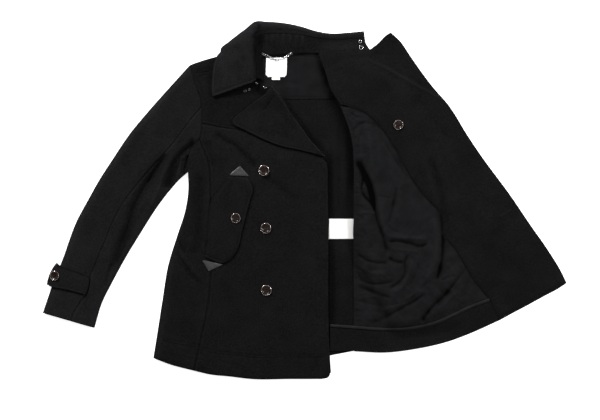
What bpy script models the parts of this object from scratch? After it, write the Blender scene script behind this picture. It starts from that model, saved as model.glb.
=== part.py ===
"""Pea coat of heavy black melton wool, laid on its back with the left front thrown open.

The coat lies on z = 0 with its collar towards +Y. Its right front (towards -X) is closed over
the back, and its left front (towards +X) is turned over about the side seam, so that the facing
and the lining show. Lengths in this file are millimetres, and MM turns them into metres.

Every wall is an open sheet through the middle of the cloth, laid between the lines on which the
piece is cut, and Solidify gives it the thickness of the cloth.
"""

import bpy
import numpy as np
from mathutils import Matrix, Vector
from mathutils.bvhtree import BVHTree

MM = 0.001

# ---------------------------------------------------------------- cloth and seams
WOOL = 2.4                  # melton, one ply
COLLAR_WOOL = 4.4           # two plies of melton, turned and edge stitched
STAND_WOOL = 3.0
STRAP_WOOL = 3.4
SATIN = 1.0                 # lining and binding
LABEL = 0.8
SEAM = 0.4                  # from piece to piece along a seam
CURVED_SEAM = 0.8           # the same along a curve, whose chords bow to either side
PLY = WOOL + SEAM           # from the middle of one ply to the middle of the next
FLOOR_PLY = WOOL / 2        # middle of a ply that lies on the floor
PROBE = 1.6                 # how far round a point the ground below a small piece is felt

# ---------------------------------------------------------------- lines on which the coat is cut
# Right sleeve, from the shoulder to the cuff.
SLEEVE_OUTER = [(-275, 323), (-323, 270), (-371, 216), (-419, 158), (-460, 97), (-491, 49),
                (-518, 1), (-544, -47), (-580, -143), (-602, -198), (-626, -265)]
SLEEVE_INNER = [(-285.5, 70), (-301, 54), (-324, 29), (-352, -6), (-395, -71), (-439, -143),
                (-467, -193), (-489, -239), (-506, -301)]
ARMHOLE_TOP = [(-275, 323), (-263, 280), (-251, 248), (-247, 217), (-247, 184)]
ARMHOLE_FRONT = [(-247, 184), (-248, 164), (-253, 148)]
ARMHOLE_SIDE = [(-253, 148), (-262.5, 138), (-272, 123), (-279, 97), (-278.5, 67)]
ARMHOLE_SLEEVE = [(-253, 148), (-265.5, 139.5), (-276.5, 124.5), (-284.5, 97), (-285.5, 70)]
# Right front.
SHOULDER = [(-275, 323), (-251, 332), (-211, 344), (-170, 354), (-131, 362)]
SIDE_EDGE = [(-278.5, 67), (-278, 25), (-285, -23), (-304, -83), (-326, -155), (-340, -239),
             (-355, -335), (-362, -376)]
SIDE_HEM = [(-362, -376), (-323, -390), (-266, -405)]
PRINCESS_SEAM = [(-253, 148), (-242, 121), (-231, 92), (-226, 25), (-225, -95), (-225, -167),
                 (-232, -251), (-251, -340), (-266, -405)]
FRONT_HEM = [(-266, -405), (-227, -414), (-179, -421), (-127, -428), (-35, -428), (40, -428)]
HEM_CORNER = [(40, -428), (56, -424), (62, -412)]
FRONT_EDGE = [(49, 104), (53, 88), (55, 25), (56, -95), (57, -311), (62, -412)]
YOKE_SEAM = [(-247, 184), (-203, 176), (-155, 169), (-71, 160), (10, 148)]
ROLL_LINE = [(-79, 275), (-52, 241), (-35, 212), (-11, 179), (13, 145), (32, 124), (49, 104)]
NECK_SIDE = [(-131, 362), (-123, 340), (-118, 310), (-115, 294), (-104, 281), (-79, 275)]
LAPEL_SIDE = [(49, 104), (29, 112), (-11, 121), (-59, 131), (-107, 150), (-131, 162),
              (-158, 175)]
LAPEL_TIP = [(-158, 175), (-169, 181), (-172, 188), (-165, 200)]
LAPEL_TOP = [(-165, 200), (-143, 217), (-119, 238), (-100, 251), (-89, 262), (-79, 275)]
# Left front, opened: its outer side lies on the floor.
OPEN_FOLD = [(37, 344), (49, 313), (61, 270), (85, 229)]
ARMHOLE_TURN = [(85, 229), (98, 227), (109, 222)]
OPEN_NECK = [(37, 344), (60, 351), (97, 354), (157, 358)]
OPEN_LAPEL = [(157, 358), (176, 376), (195, 395), (205, 402)]
OPEN_EDGE = [(205, 402), (226, 383), (278, 307), (341, 230), (415, 115), (500, 0), (579, -115),
             (614, -172), (627, -199)]
OPEN_HEM = [(466, -288), (532, -253), (589, -223), (627, -199)]
FACING_SEAM = [(109, 222), (137, 212), (169, 188), (217, 121), (257, 49), (301, -6), (325, -30),
               (333, -83), (361, -119), (397, -179), (443, -239)]
FACING_END = [(443, -239), (466, -288)]
LINING_TOP = [(102, 212), (109, 222)]
LINING_SIDE = [(102, 212), (110, 172), (116, 133), (118.4, 85), (118.4, 0), (120, -200),
               (121, -305)]
TAPE_LINE = [(121, -305), (205, -310), (253, -307), (286, -301),
             (325, -289), (361, -272), (397, -256), (443, -239)]
HEM_LINE = [(118.4, -361), (193, -364), (265, -355), (349, -335), (397, -318), (466, -288)]
BACK_TAPE = [(61, -301), (121, -305)]
BACK_HEM = [(61, -361), (118.4, -361)]
# Back neck, and the left sleeve under the opened front.
NECK_SEAM = [(-95, 346), (-59, 351), (-11, 353), (37, 353), (97, 355), (152, 358)]
LEFT_SHOULDER = [(37, 357), (70, 332), (100, 312), (116, 300)]
HIDDEN_OUTER = [(120, 296), (193, 229), (262, 121), (315, -11), (336, -119), (345, -203),
                (346, -252)]
HIDDEN_INNER = [(120, 82), (137, 1), (161, -95), (193, -191), (229, -290)]

# ---------------------------------------------------------------- heights of the middle plies
FOLD_DEPTH = 24             # how far in from the edge a folded body panel is still turning
FOLD_REACH = 34             # how far it runs on under the coat to its seam with the back
FRONT_REST = 190            # from the front edge to where the front lies at its full height
BODY_HEIGHT = {"y": (-430, -300, -100, 50, 150, 250, 330), "z": (10, 12, 14, 16, 18, 19, 19)}
SLEEVE_HEIGHT = {"v": (0.0, 0.2, 0.5, 0.8, 1.0), "z": (18, 20, 18, 15, 14)}
SLEEVE_TURN = {"v": (0.0, 0.3, 1.0), "depth": (22, 20, 16)}
FACING_HEIGHT = {"y": (60, 200), "z": (FLOOR_PLY + PLY, FLOOR_PLY + PLY + 1.7)}
OPEN_RAISE = {"y": (28, 78, 130, 229, 270, 310, 344, 359), "z": (0, 12.5, 14, 14, 12, 9, 6, 5)}
OPEN_RAISE_EDGE = 128       # right of this the raised fold of the opened front falls away
OPEN_RAISE_FALL = 70
HIDDEN_HEIGHT = {"v": (0.0, 0.5, 1.0), "z": (11.0, 10.2, 9.2)}

# Main folds: a trough along each line, dying away at both ends. Minus depths are ridges.
FRONT_FOLDS = [
    # line of the fold                                width  depth
    ([(-262, 30), (-254, -60), (-250, -165)],           12,   4.0),
    ([(-304, -131), (-278, -172), (-251, -215)],        10,   3.0),
    ([(-319, -119), (-300, -158), (-275, -203)],        10,   2.4),
    ([(-222, 150), (-180, 118), (-131, 85)],            16,   2.6),
    ([(-103, 61), (-60, 30), (-11, 1)],                 18,   2.0),
]
SLEEVE_FOLDS = [
    ([(-325, 112), (-371, 44), (-407, -6), (-431, -66), (-443, -119), (-462, -175)], 12, 7.0),
    ([(-258, 141), (-292, 116), (-304, 102), (-319, 73), (-335, 25)],                 9, 6.0),
    ([(-287, 145), (-335, 85), (-371, 15)],                                           9, -2.5),
]
LINING_FOLDS = [
    ([(123, 145), (125, 102), (145, 68), (164, 30), (171, -11), (181, -59), (193, -102),
      (202, -143)],                                                                  12, 8.0),
    ([(224, 37), (217, -11), (209, -52)],                                            11, 4.5),
    ([(200, -98), (241, -104), (289, -109), (303, -101)],                            10, 7.0),
    ([(198, -143), (221, -155), (245, -156)],                                         9, 4.0),
    ([(259, -128), (248, -155), (245, -179), (229, -198), (207, -211)],              10, 5.5),
    ([(292, -225), (265, -246), (241, -263), (205, -282), (157, -296)],              11, 5.0),
    ([(327, -35), (334, -114), (327, -148), (317, -179), (305, -208)],               10, 7.0),
    ([(342, -213), (315, -239), (296, -263)],                                        10, 4.0),
    ([(388, -170), (361, -203), (337, -230)],                                        10, 3.5),
    ([(146, -110), (165, -150), (168, -200)],                                         9, 3.0),
    ([(140, -70), (165, -120), (190, -175)],                                          8, -3.5),
    ([(180, 60), (195, 0), (197, -60)],                                              14, -5.0),
    ([(250, 20), (248, -50), (262, -92)],                                            16, -4.5),
    ([(215, -125), (250, -132), (285, -135)],                                         9, -5.0),
    ([(305, -30), (312, -90), (303, -150), (280, -200)],                             11, -5.0),
    ([(345, -190), (310, -220), (285, -250)],                                         9, -2.5),
]

# ---------------------------------------------------------------- collar, row by row
# From the left end of the neck round to the right. seam is where fall and stand are sewn, roll
# is the crest, edge is the free edge, or the outermost point where the fall turns under.
FALL_ROWS = [
    # seam x, y, z        roll x, y, z         edge x, y, z        turned under
    (-117, 289, 20.5,    -124, 283, 25.0,     -220, 248, 23.5,     0),
    (-118, 301, 21,      -127, 301, 28,       -222, 264, 24,       0),
    (-118, 325, 22,      -127, 325, 30,       -221, 289, 24.5,     0),
    (-119, 349, 22,      -130, 349, 31,       -218, 318, 25,       0),
    (-119, 366, 22,      -129, 366, 31,       -211, 341, 24,       0),
    (-118, 378, 22,      -127, 380, 32,       -200, 361, 15,       4),
    (-115, 387, 22,      -123, 391, 32,       -180, 379, 14,      12),
    (-110, 393, 22,      -118, 400, 31,       -160, 395, 13,      20),
    (-104, 397, 22,      -112, 407, 30,       -141, 409, 12.5,    26),
    (-97, 399, 21,       -105, 413, 28,       -117, 427, 12,      32),
    (-84, 400, 20.5,     -88, 415, 26,        -90, 426, 11.5,     38),
    (-50, 400, 20,       -50, 413, 24,        -50, 423, 11,       40),
    (-10, 397, 18.5,     -10, 408, 22,        -10, 415, 10,       40),
    (30, 390, 15,         30, 397, 18,         30, 403, 9,        36),
    (65, 387, 12.5,       65, 392.5, 15,       66, 398, 7.8,      32),
    (100, 388, 10.5,     100, 394, 13,        101, 400, 7.0,      30),
    (137, 391, 9.5,      138, 397.5, 11.5,    140, 404, 6.4,      30),
]
STAND_FEET = [(-100, 287, 7.0), (-102, 299, 6.4), (-103, 315, 5.6), (-104, 328, 5.4),
              (-104, 336, 5.2), (-103, 341, 5.0), (-100, 345, 4.8), (-96, 347, 4.5),
              (-90, 348, 4.3), (-83, 349, 4.3), (-72, 350, 4.3), (-46, 352, 4.3),
              (-9, 353, 4.3), (30, 353.5, 4.3), (68, 357, 7.2), (105, 359.5, 7.0),
              (151, 363, 7.0)]

# ---------------------------------------------------------------- small pieces
BUTTON_WIDTH = 26
SMALL_BUTTON_WIDTH = 24
BUTTON_THICK = 4.2
BUTTON_STAND_OFF = 0.5      # over the cloth, on its thread
BUTTONS = [
    # name                  x     y    width
    ("front_button_upper", -98,   73, BUTTON_WIDTH),
    ("front_button_middle", -93, -66, BUTTON_WIDTH),
    ("front_button_lower", -92, -215, BUTTON_WIDTH),
    ("pocket_button",      -165, -42, SMALL_BUTTON_WIDTH),
    ("inner_button",        224, 181, SMALL_BUTTON_WIDTH),
]
FLAP_SEAM = [(-184, 56), (-203, 28), (-223, 1), (-231, -67), (-239, -136)]
FLAP_TOP = [(-184, 56), (-136, 54)]
FLAP_EDGE = [(-136, 54), (-124, 27), (-131, 1), (-147, -60), (-163, -119), (-172, -133)]
FLAP_END = [(-239, -136), (-194, -149), (-172, -133)]
PATCH_UPPER = [(-181, 60.5), (-155, 83), (-134, 58.5)]
PATCH_LOWER = [(-246, -142.5), (-196, -153.5), (-230, -169)]
# Wire loops of the collar fastening.
LOOPS = [
    # name                  x      y   long  wide  wire  turned (degrees)
    ("collar_ring_upper",  132.6, 381, 8.6,  8.6, 1.8,     0),
    ("collar_ring_lower",  135.0, 366,  10,   10, 1.8,     0),
    ("neck_hook",         -112,   279,   9,    4, 1.2,   -32),
    ("neck_eye",           -95.5, 271,   9,    4, 1.2,   -34),
    ("leaf_hook",         -142.7, 262,   9,    6, 1.2,    20),
    ("leaf_eye",          -133,   265.5, 8,    5, 1.2,    75),
]
CHAIN = [(-98, 350), (-86, 345), (-69, 337), (-52, 341), (-35, 351)]


# ================================================================ lines and sheets
def smooth(points):
    """A fine line through the points, smooth at each."""
    spots = np.array(points, float)
    reach = np.concatenate([[0], np.cumsum(np.linalg.norm(np.diff(spots, axis=0), axis=1))])
    if len(spots) < 3:
        return spots
    slope = np.gradient(spots, reach, axis=0)
    fine = np.linspace(0, reach[-1], 14 * (len(spots) - 1) + 1)
    span = np.clip(np.searchsorted(reach, fine, "right") - 1, 0, len(spots) - 2)
    length = (reach[span + 1] - reach[span])[:, None]
    s = (fine - reach[span])[:, None] / length
    return ((2 * s**3 - 3 * s**2 + 1) * spots[span] + (s**3 - 2 * s**2 + s) * length * slope[span]
            + (3 * s**2 - 2 * s**3) * spots[span + 1] + (s**3 - s**2) * length * slope[span + 1])


def chain(*lines):
    """Lines joined end to end, with a corner wherever two of them meet."""
    return np.vstack([smooth(line) for line in lines])


def shares(line):
    reach = np.concatenate([[0], np.cumsum(np.linalg.norm(np.diff(line, axis=0), axis=1))])
    return reach / reach[-1]


def length_of(line):
    return np.linalg.norm(np.diff(line, axis=0), axis=1).sum()


def along(line, share):
    """The point at a share of the line's length."""
    reach = shares(line)
    return np.array([np.interp(share, reach, line[:, axis]) for axis in range(line.shape[1])])


def moved(line, distance):
    """The line moved sideways, to the right of its direction."""
    run = np.gradient(line, axis=0)
    run /= np.linalg.norm(run, axis=1)[:, None]
    return line + distance * np.column_stack([run[:, 1], -run[:, 0]])


def sheet_between(top, bottom, left, right):
    """A flat sheet between four lines: at(u, v), u from left to right, v from top to bottom."""
    corner = top[0], top[-1], bottom[0], bottom[-1]

    def at(u, v):
        across = (1 - v) * along(top, u) + v * along(bottom, u)
        down = (1 - u) * along(left, v) + u * along(right, v)
        flat = ((1 - u) * (1 - v) * corner[0] + u * (1 - v) * corner[1]
                + (1 - u) * v * corner[2] + u * v * corner[3])
        return across + down - flat

    return at


def distance_across(at, v):
    return length_of(np.array([at(u, v) for u in np.linspace(0, 1, 9)]))


def distance_down(at, u):
    return length_of(np.array([at(u, v) for v in np.linspace(0, 1, 9)]))


def steps(first, last, count):
    return np.linspace(first, last, count + 1)


def ease(value):
    value = np.clip(value, 0, 1)
    return value * value * (3 - 2 * value)


def folds_at(x, y, folds):
    """How deep the troughs (and ridges) of a fold table are at a place."""
    total = 0.0
    spot = np.array([x, y])
    for points, width, depth in folds:
        line = np.array(points, float)
        reach = shares(line)
        nearest, where = 1e9, 0.0
        for i in range(len(line) - 1):
            run = line[i + 1] - line[i]
            t = np.clip(np.dot(spot - line[i], run) / np.dot(run, run), 0, 1)
            gap = np.linalg.norm(spot - line[i] - t * run)
            if gap < nearest:
                nearest, where = gap, reach[i] + t * (reach[i + 1] - reach[i])
        fade = ease(where / 0.22) * ease((1 - where) / 0.22)
        total += depth * fade * np.exp(-(nearest / width) ** 2)
    return total


# ================================================================ making the pieces
def clear_scene():
    for item in list(bpy.data.objects):
        bpy.data.objects.remove(item, do_unlink=True)


def finish(name, color, roughness, metallic=0.0):
    """A plain material."""
    material = bpy.data.materials.new(name)
    material.use_nodes = True
    shader = material.node_tree.nodes["Principled BSDF"]
    shader.inputs["Base Color"].default_value = (*color, 1)
    shader.inputs["Roughness"].default_value = roughness
    shader.inputs["Metallic"].default_value = metallic
    return material


def add_object(name, data, material):
    item = bpy.data.objects.new(name, data)
    item.data.materials.append(material)
    bpy.data.collections["pea_coat"].objects.link(item)
    return item


def cloth(name, rows, thickness, material, extra_rows=None, join_from=0):
    """A wall of cloth on a grid of middle points, row by row.

    extra_rows is a second grid sewn on where the first one's rows end, from row join_from on:
    its own first column is that edge, so its points start at its second column.
    """
    points = [tuple(spot) for row in rows for spot in row]
    wide = len(rows[0])
    faces = [(i * wide + j, (i + 1) * wide + j, (i + 1) * wide + j + 1, i * wide + j + 1)
             for i in range(len(rows) - 1) for j in range(wide - 1)]
    if extra_rows:
        start = len(points)
        more = len(extra_rows[0])
        points += [tuple(spot) for row in extra_rows for spot in row]

        def corner(i, j):
            if j < 0:
                return (join_from + i) * wide + wide - 1
            return start + i * more + j

        faces += [(corner(i, j), corner(i + 1, j), corner(i + 1, j + 1), corner(i, j + 1))
                  for i in range(len(extra_rows) - 1) for j in range(-1, more - 1)]
    mesh = bpy.data.meshes.new(name)
    mesh.from_pydata([Vector(spot) * MM for spot in points], [], faces)
    mesh.shade_smooth()
    item = add_object(name, mesh, material)
    wall = item.modifiers.new("cloth thickness", "SOLIDIFY")
    wall.thickness = thickness * MM
    wall.offset = 0
    return item


def top_of(*items):
    """A function that finds the highest point of the given pieces above a place."""
    trees = []
    depsgraph = bpy.context.evaluated_depsgraph_get()
    depsgraph.update()
    for item in items:
        mesh = item.evaluated_get(depsgraph).to_mesh()
        mesh.transform(item.matrix_world)
        points = [spot.co.copy() for spot in mesh.vertices]
        trees.append(BVHTree.FromPolygons(points, [tuple(face.vertices) for face in mesh.polygons]))

    def height(x, y):
        found = []
        for aside, up in ((0, 0), (PROBE, 0), (-PROBE, 0), (0, PROBE), (0, -PROBE)):
            start = Vector((x + aside, y + up, 1000)) * MM
            hits = [tree.ray_cast(start, Vector((0, 0, -1)))[0] for tree in trees]
            found += [hit.z / MM for hit in hits if hit is not None]
        return max(found)

    return height


def resting(at, us, vs, height, lift):
    """Grid rows of a sheet laid on what is below it, its middle lift above that."""
    rows = []
    for v in vs:
        row = [at(u, v) for u in us]
        rows.append([(x, y, height(x, y) + lift) for x, y in row])
    return rows


# ================================================================ heights of the large pieces
def table(columns, key, value, at):
    return float(np.interp(at, columns[key], columns[value]))


FRONT_BORDER = chain(NECK_SIDE, ROLL_LINE, FRONT_EDGE)


def facing_height(y):
    """Middle of the ply that lies on the back along the front edge."""
    return table(FACING_HEIGHT, "y", "z", y)


def front_height(x, y):
    """Middle of the closed front: low at its edge and roll line, full over the chest."""
    order = FRONT_BORDER[::-1]
    border_x = float(np.interp(y, order[:, 1], order[:, 0]))
    low = facing_height(y) + PLY + 0.2
    full = table(BODY_HEIGHT, "y", "z", y)
    height = low + (full - low) * ease((border_x - x) / FRONT_REST)
    return height - folds_at(x, y, FRONT_FOLDS)


HIDDEN_SLEEVE = sheet_between(chain([HIDDEN_OUTER[0], HIDDEN_INNER[0]]),
                              chain([HIDDEN_OUTER[-1], HIDDEN_INNER[-1]]),
                              chain(HIDDEN_OUTER), chain(HIDDEN_INNER))
HIDDEN_MIDDLE = np.array([HIDDEN_SLEEVE(0.5, v) for v in steps(0, 1, 20)])
HIDDEN_HALF = np.array([distance_across(HIDDEN_SLEEVE, v) / 2 for v in steps(0, 1, 20)])


def over_hidden_sleeve(x, y):
    """How much the opened front is lifted by the sleeve below it."""
    gaps = np.linalg.norm(HIDDEN_MIDDLE - np.array([x, y]), axis=1)
    i = int(np.argmin(gaps))
    v = i / (len(gaps) - 1)
    tube = table(HIDDEN_HEIGHT, "v", "z", v) - FLOOR_PLY + PLY + 0.9
    beside = ease((1.7 - gaps[i] / HIDDEN_HALF[i]) / 0.6)
    end = HIDDEN_MIDDLE[-1] - HIDDEN_MIDDLE[-2]
    beyond = np.dot(np.array([x, y]) - HIDDEN_MIDDLE[-1], end / np.linalg.norm(end))
    return tube * beside * ease(1 - (beyond - 16) / 40)


def open_height(x, y):
    """Middle of the outer ply of the opened front."""
    raised = table(OPEN_RAISE, "y", "z", y) * ease(1 - (x - OPEN_RAISE_EDGE) / OPEN_RAISE_FALL)
    return FLOOR_PLY + max(raised, over_hidden_sleeve(x, y))


def fold_profile(depth, high, reach, count=6):
    """A folded edge, from its under end round to the top: (distance in from the edge, height)."""
    turns = np.radians(steps(-90, 90, count))
    middle = (high + FLOOR_PLY) / 2
    radius = (high - FLOOR_PLY) / 2
    turned = [(depth * (1 - np.cos(a)), middle + radius * np.sin(a)) for a in turns]
    return [(reach, FLOOR_PLY)] * (reach > depth) + turned


# ================================================================ body
SIDE_FRONT = sheet_between(chain(ARMHOLE_SIDE)[::-1], chain(SIDE_HEM), chain(SIDE_EDGE),
                           chain(PRINCESS_SEAM))
FRONT = sheet_between(chain(YOKE_SEAM), chain(FRONT_HEM, HEM_CORNER),
                      chain(ARMHOLE_FRONT, PRINCESS_SEAM),
                      chain([(10, 148), (13, 145), (32, 124), (49, 104)], FRONT_EDGE))
YOKE = sheet_between(chain(SHOULDER), chain(YOKE_SEAM), chain(ARMHOLE_TOP),
                     chain(NECK_SIDE, [*ROLL_LINE[:4], YOKE_SEAM[-1]]))
SEAM_ROWS = 14
YOKE_COLUMNS = 13
WRAP_ROOM = 6.8             # from the visible roll of the lapel in to the plies inside it
YOKE_WIDTH = 270            # about how wide the yoke is
YOKE_INSET = WRAP_ROOM + 1.6
ARMHOLE_SEAM = 1.2          # from the armhole line to the front's edge there
BACK_ARMHOLE_SEAM = 2.6     # and to the back's
BACK_SIDE_SEAM = 1.8        # from the end of the folded side panel to the back
UNDER_ENDS = (0.012, 0.96)  # where the turned-back cloth under the lapel starts and ends
LAPEL = sheet_between(chain(LAPEL_TOP), chain([(29, 112), (49, 104)]),
                      chain(LAPEL_TIP[::-1], LAPEL_SIDE[:0:-1]), chain(ROLL_LINE))
ROLL_ROWS = 10
ROLL_DEPTH = 6.0            # how far the turn at the roll line reaches in
FACING_WIDTH = 60
LAPEL_SPRING = 1.0          # air in the roll of the lapel
EDGE_INSET = 0.6            # a hidden ply stops this far inside the edge it is sewn to
LAYER_ROOM = 0.3           # more air between curved layers
LINING_PUFF = 7.0
TAPE_WIDTH = 8
HIDDEN_TURN = 9
FLAP_LIFT = 0.8
CHAIN_THICK = 2.4
STAND_GAP = 0.8
LOOP_POINTS = 12
UNDER_SEAM = 0.2            # where the back seam runs under the sleeve, as a share of its width
SLEEVE_SEAM = {"v": (0.0, 0.06, 0.12, 0.18, 0.3, 0.5, 0.57, 0.64, 0.72, 0.78, 0.83, 0.86, 0.91,
                     0.97, 1.0),
               "u": (0.39, 0.41, 0.44, 0.46, 0.45, 0.425, 0.45, 0.505, 0.535, 0.545, 0.61, 0.635,
                     0.59, 0.54, 0.545)}
TAB_TOP = 0.825
TAB_FOOT = 0.905
TAB_STAND_OUT = 9
TAB_SLANT = 0.057


def make_side_front(material):
    """Panel between side and princess seam, folded round the side edge of the coat."""
    rows = []
    for v in steps(0, 1, SEAM_ROWS):
        v = max(v, CURVED_SEAM / distance_down(SIDE_FRONT, 0.5))
        wide = distance_across(SIDE_FRONT, v)
        inner = SIDE_FRONT(FOLD_DEPTH / wide, v)
        row = []
        for inward, z in fold_profile(FOLD_DEPTH, front_height(*inner), FOLD_REACH):
            row.append((*SIDE_FRONT(inward / wide, v), z))
        for u in steps(FOLD_DEPTH / wide, 1 - SEAM / 2 / wide, 7)[1:]:
            x, y = SIDE_FRONT(u, v)
            row.append((x, y, front_height(x, y)))
        rows.append(row)
    return cloth("right_side_front", rows, WOOL, material)


def make_front(material):
    """Panel from the princess seam to the front edge."""
    armhole = length_of(chain(ARMHOLE_FRONT))
    seam = length_of(chain(PRINCESS_SEAM))
    top = armhole / (armhole + seam)
    tall = distance_down(FRONT, 0.5)
    levels = [SEAM / 2 / tall, top / 2, *[top + (1 - top) * s for s in steps(0, 1, SEAM_ROWS)]]
    rows = []
    for v in levels:
        wide = distance_across(FRONT, v)
        left = (ARMHOLE_SEAM if v < top else SEAM / 2) / wide
        roll_end = along(chain([(10, 148), (13, 145), (32, 124), (49, 104)], FRONT_EDGE), v)
        right = 1 - (WRAP_ROOM / wide) * ease((roll_end[1] - 88) / 12)
        row = [FRONT(u, v) for u in steps(left, right, YOKE_COLUMNS)]
        rows.append([(x, y, front_height(x, y)) for x, y in row])
    return cloth("right_front", rows, WOOL, material)


def make_yoke(material):
    """Front yoke, folded over the shoulder."""
    rows = []
    tall = min(distance_down(YOKE, u) for u in (0.0, 0.5, 1.0))
    for inward, turned in fold_profile(FOLD_DEPTH, 1, FOLD_REACH):
        row = []
        for u in steps(CURVED_SEAM / YOKE_WIDTH, 1 - YOKE_INSET / YOKE_WIDTH, YOKE_COLUMNS):
            deep = distance_down(YOKE, u)
            high = front_height(*YOKE(u, FOLD_DEPTH / deep))
            x, y = YOKE(u, inward / deep)
            share = (turned - FLOOR_PLY) / (1 - FLOOR_PLY)
            row.append((x, y, FLOOR_PLY + (high - FLOOR_PLY) * share))
        rows.append(row)
    for s in steps(0, 1, 7)[1:]:
        row = []
        for u in steps(CURVED_SEAM / YOKE_WIDTH, 1 - YOKE_INSET / YOKE_WIDTH, YOKE_COLUMNS):
            deep = distance_down(YOKE, u)
            first = FOLD_DEPTH / deep
            x, y = YOKE(u, first + (1 - SEAM / 2 / deep - first) * s)
            row.append((x, y, front_height(x, y)))
        rows.append(row)
    return cloth("right_front_yoke", rows, WOOL, material)


def make_back(material):
    """The back lies flat, and meets the folded edges of the front where they run out."""
    beside = FOLD_REACH + BACK_SIDE_SEAM
    under_side = np.array([SIDE_FRONT(beside / distance_across(SIDE_FRONT, v), v)
                           for v in steps(0.14, 1, SEAM_ROWS)])
    under_shoulder = np.array([YOKE(u, (FOLD_REACH + CURVED_SEAM) / distance_down(YOKE, u))
                               for u in steps(0.02, 1, 8)])
    armhole = moved(chain(ARMHOLE_TOP, ARMHOLE_FRONT, ARMHOLE_SLEEVE), -BACK_ARMHOLE_SEAM)
    armhole = armhole[(armhole[:, 1] < under_shoulder[0][1] - 1) & (armhole[:, 1] > 136)]
    left = np.vstack([[under_shoulder[0]], armhole, under_side])
    neck = moved(smooth(NECK_SEAM[:4]), -4)
    top = np.vstack([under_shoulder, [(-112, 329), (-106, 345)], neck, smooth(LEFT_SHOULDER)])
    right = np.array([LEFT_SHOULDER[-1], (116.5, 133), (117.7, 85), (117.7, -361)], float)
    hem = np.vstack([[under_side[-1]], smooth([(-266, -404), (-179, -412), (-60, -404), (20, -380)]),
                     [(117.7, -361)]])
    back = sheet_between(top, hem, left, right)
    corner = shares(top)[len(under_shoulder)]
    across = [*steps(0, corner, 4), *steps(corner, 1, 6)[1:]]
    down = [*steps(0, 0.24, 7), *steps(0.24, 1, 13)[1:]]
    rows = [[(*back(u, v), FLOOR_PLY) for u in across] for v in down]
    return cloth("back", rows, WOOL, material)


def make_right_facing(material):
    """Facing: a strip under the front edge that turns over the roll line and tops the lapel."""
    roll = chain(ROLL_LINE)
    roll_levels = steps(0, 1, ROLL_ROWS)
    strip = []
    lapel = []
    for v in roll_levels:
        x, y = along(roll, v)
        low = facing_height(y)
        strip.append([(px, y, low) for px in steps(x - FACING_WIDTH, x - ROLL_DEPTH, 3)])
        high = lapel_height(x - ROLL_DEPTH, y, 1)
        row = []
        for turn in np.radians((-45, 0, 45, 90)):
            reach = ROLL_DEPTH - WOOL / 2
            row.append((x - ROLL_DEPTH + reach * np.cos(turn), y,
                        (low + high) / 2 + (high - low) / 2 * np.sin(turn)))
        wide = distance_across(LAPEL, v)
        for u in steps(1 - ROLL_DEPTH / wide, 0, 7)[1:]:
            px, py = LAPEL(u, v)
            row.append((px, py, lapel_height(px, py, u)))
        lapel.append(row)
    edge = chain(FRONT_EDGE)
    for share in steps(0, 1, 9)[1:]:
        x, y = along(edge, share)
        right = x - EDGE_INSET
        strip.append([(px, y, facing_height(y)) for px in steps(x - FACING_WIDTH, right, 3)])
    return cloth("right_facing", strip, WOOL, material, lapel)


def lapel_height(x, y, u):
    """Middle of the top ply of the lapel, a little sprung near the roll line (u = 1)."""
    return front_height(x, y) + 2 * PLY + LAPEL_SPRING * (0.5 + 0.5 * u)


def make_lapel_under(material):
    """Outer cloth turned back with the facing, just inside the edge of the lapel."""
    rows = []
    for v in steps(*UNDER_ENDS, 8):
        wide = distance_across(LAPEL, v)
        spots = [LAPEL(u, v) for u in steps(EDGE_INSET / wide, 1 - WRAP_ROOM / wide, 7)]
        rows.append([(x, y, front_height(x, y) + PLY + LAPEL_SPRING * 0.35) for x, y in spots])
    return cloth("right_lapel_under", rows, WOOL, material)


def make_yoke_lining(material):
    """Short lining inside the back neck."""
    lining = sheet_between(smooth([(-101, 341), (-59, 344), (0, 345), (40, 341)]),
                           smooth([(-112, 244), (0, 243), (104, 244)]),
                           smooth([(-101, 341), (-106, 300), (-112, 244)]),
                           smooth([(40, 341), (66, 290), (104, 244)]))
    level = WOOL + SEAM + SATIN / 2
    rows = [[(*lining(u, v), level) for u in steps(0, 1, 6)] for v in steps(0, 1, 4)]
    return cloth("back_yoke_lining", rows, SATIN, material)


# ================================================================ right sleeve
SLEEVE = sheet_between(chain(ARMHOLE_TOP, ARMHOLE_FRONT, ARMHOLE_SLEEVE),
                       chain([SLEEVE_OUTER[-1], SLEEVE_INNER[-1]]),
                       chain(SLEEVE_OUTER), chain(SLEEVE_INNER))
SLEEVE_ROWS = 16
SLEEVE_LENGTH = 550


def sleeve_height(x, y, v):
    """Middle of the upper wall of the sleeve, level with the body at the armhole."""
    own = table(SLEEVE_HEIGHT, "v", "z", v)
    body = table(BODY_HEIGHT, "y", "z", y)
    return own + (body - own) * ease(1 - v / 0.12) - folds_at(x, y, SLEEVE_FOLDS)


def sleeve_row(v, wide, from_edge, seam, under_seam, count):
    """One ring of a sleeve piece: from the seam underneath, round an edge, to the top seam.

    from_edge is 0 for the outer edge and 1 for the inner one.
    """
    turn = table(SLEEVE_TURN, "v", "depth", v)
    toward = 1 if from_edge == 0 else -1
    top_spot = SLEEVE(from_edge + toward * turn / wide, v)
    row = []
    if count_under := abs(under_seam - from_edge) * wide - turn:
        for inward in steps(turn + count_under, turn, 2)[:-1]:
            row.append((*SLEEVE(from_edge + toward * inward / wide, v), FLOOR_PLY))
    for inward, z in fold_profile(turn, sleeve_height(*top_spot, v), 0):
        row.append((*SLEEVE(from_edge + toward * inward / wide, v), z))
    for u in steps(from_edge + toward * turn / wide, seam, count)[1:]:
        x, y = SLEEVE(u, v)
        row.append((x, y, sleeve_height(x, y, v)))
    return row


def sleeve_levels():
    return [max(v, CURVED_SEAM / SLEEVE_LENGTH) for v in steps(0, 1, SLEEVE_ROWS)]


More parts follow.
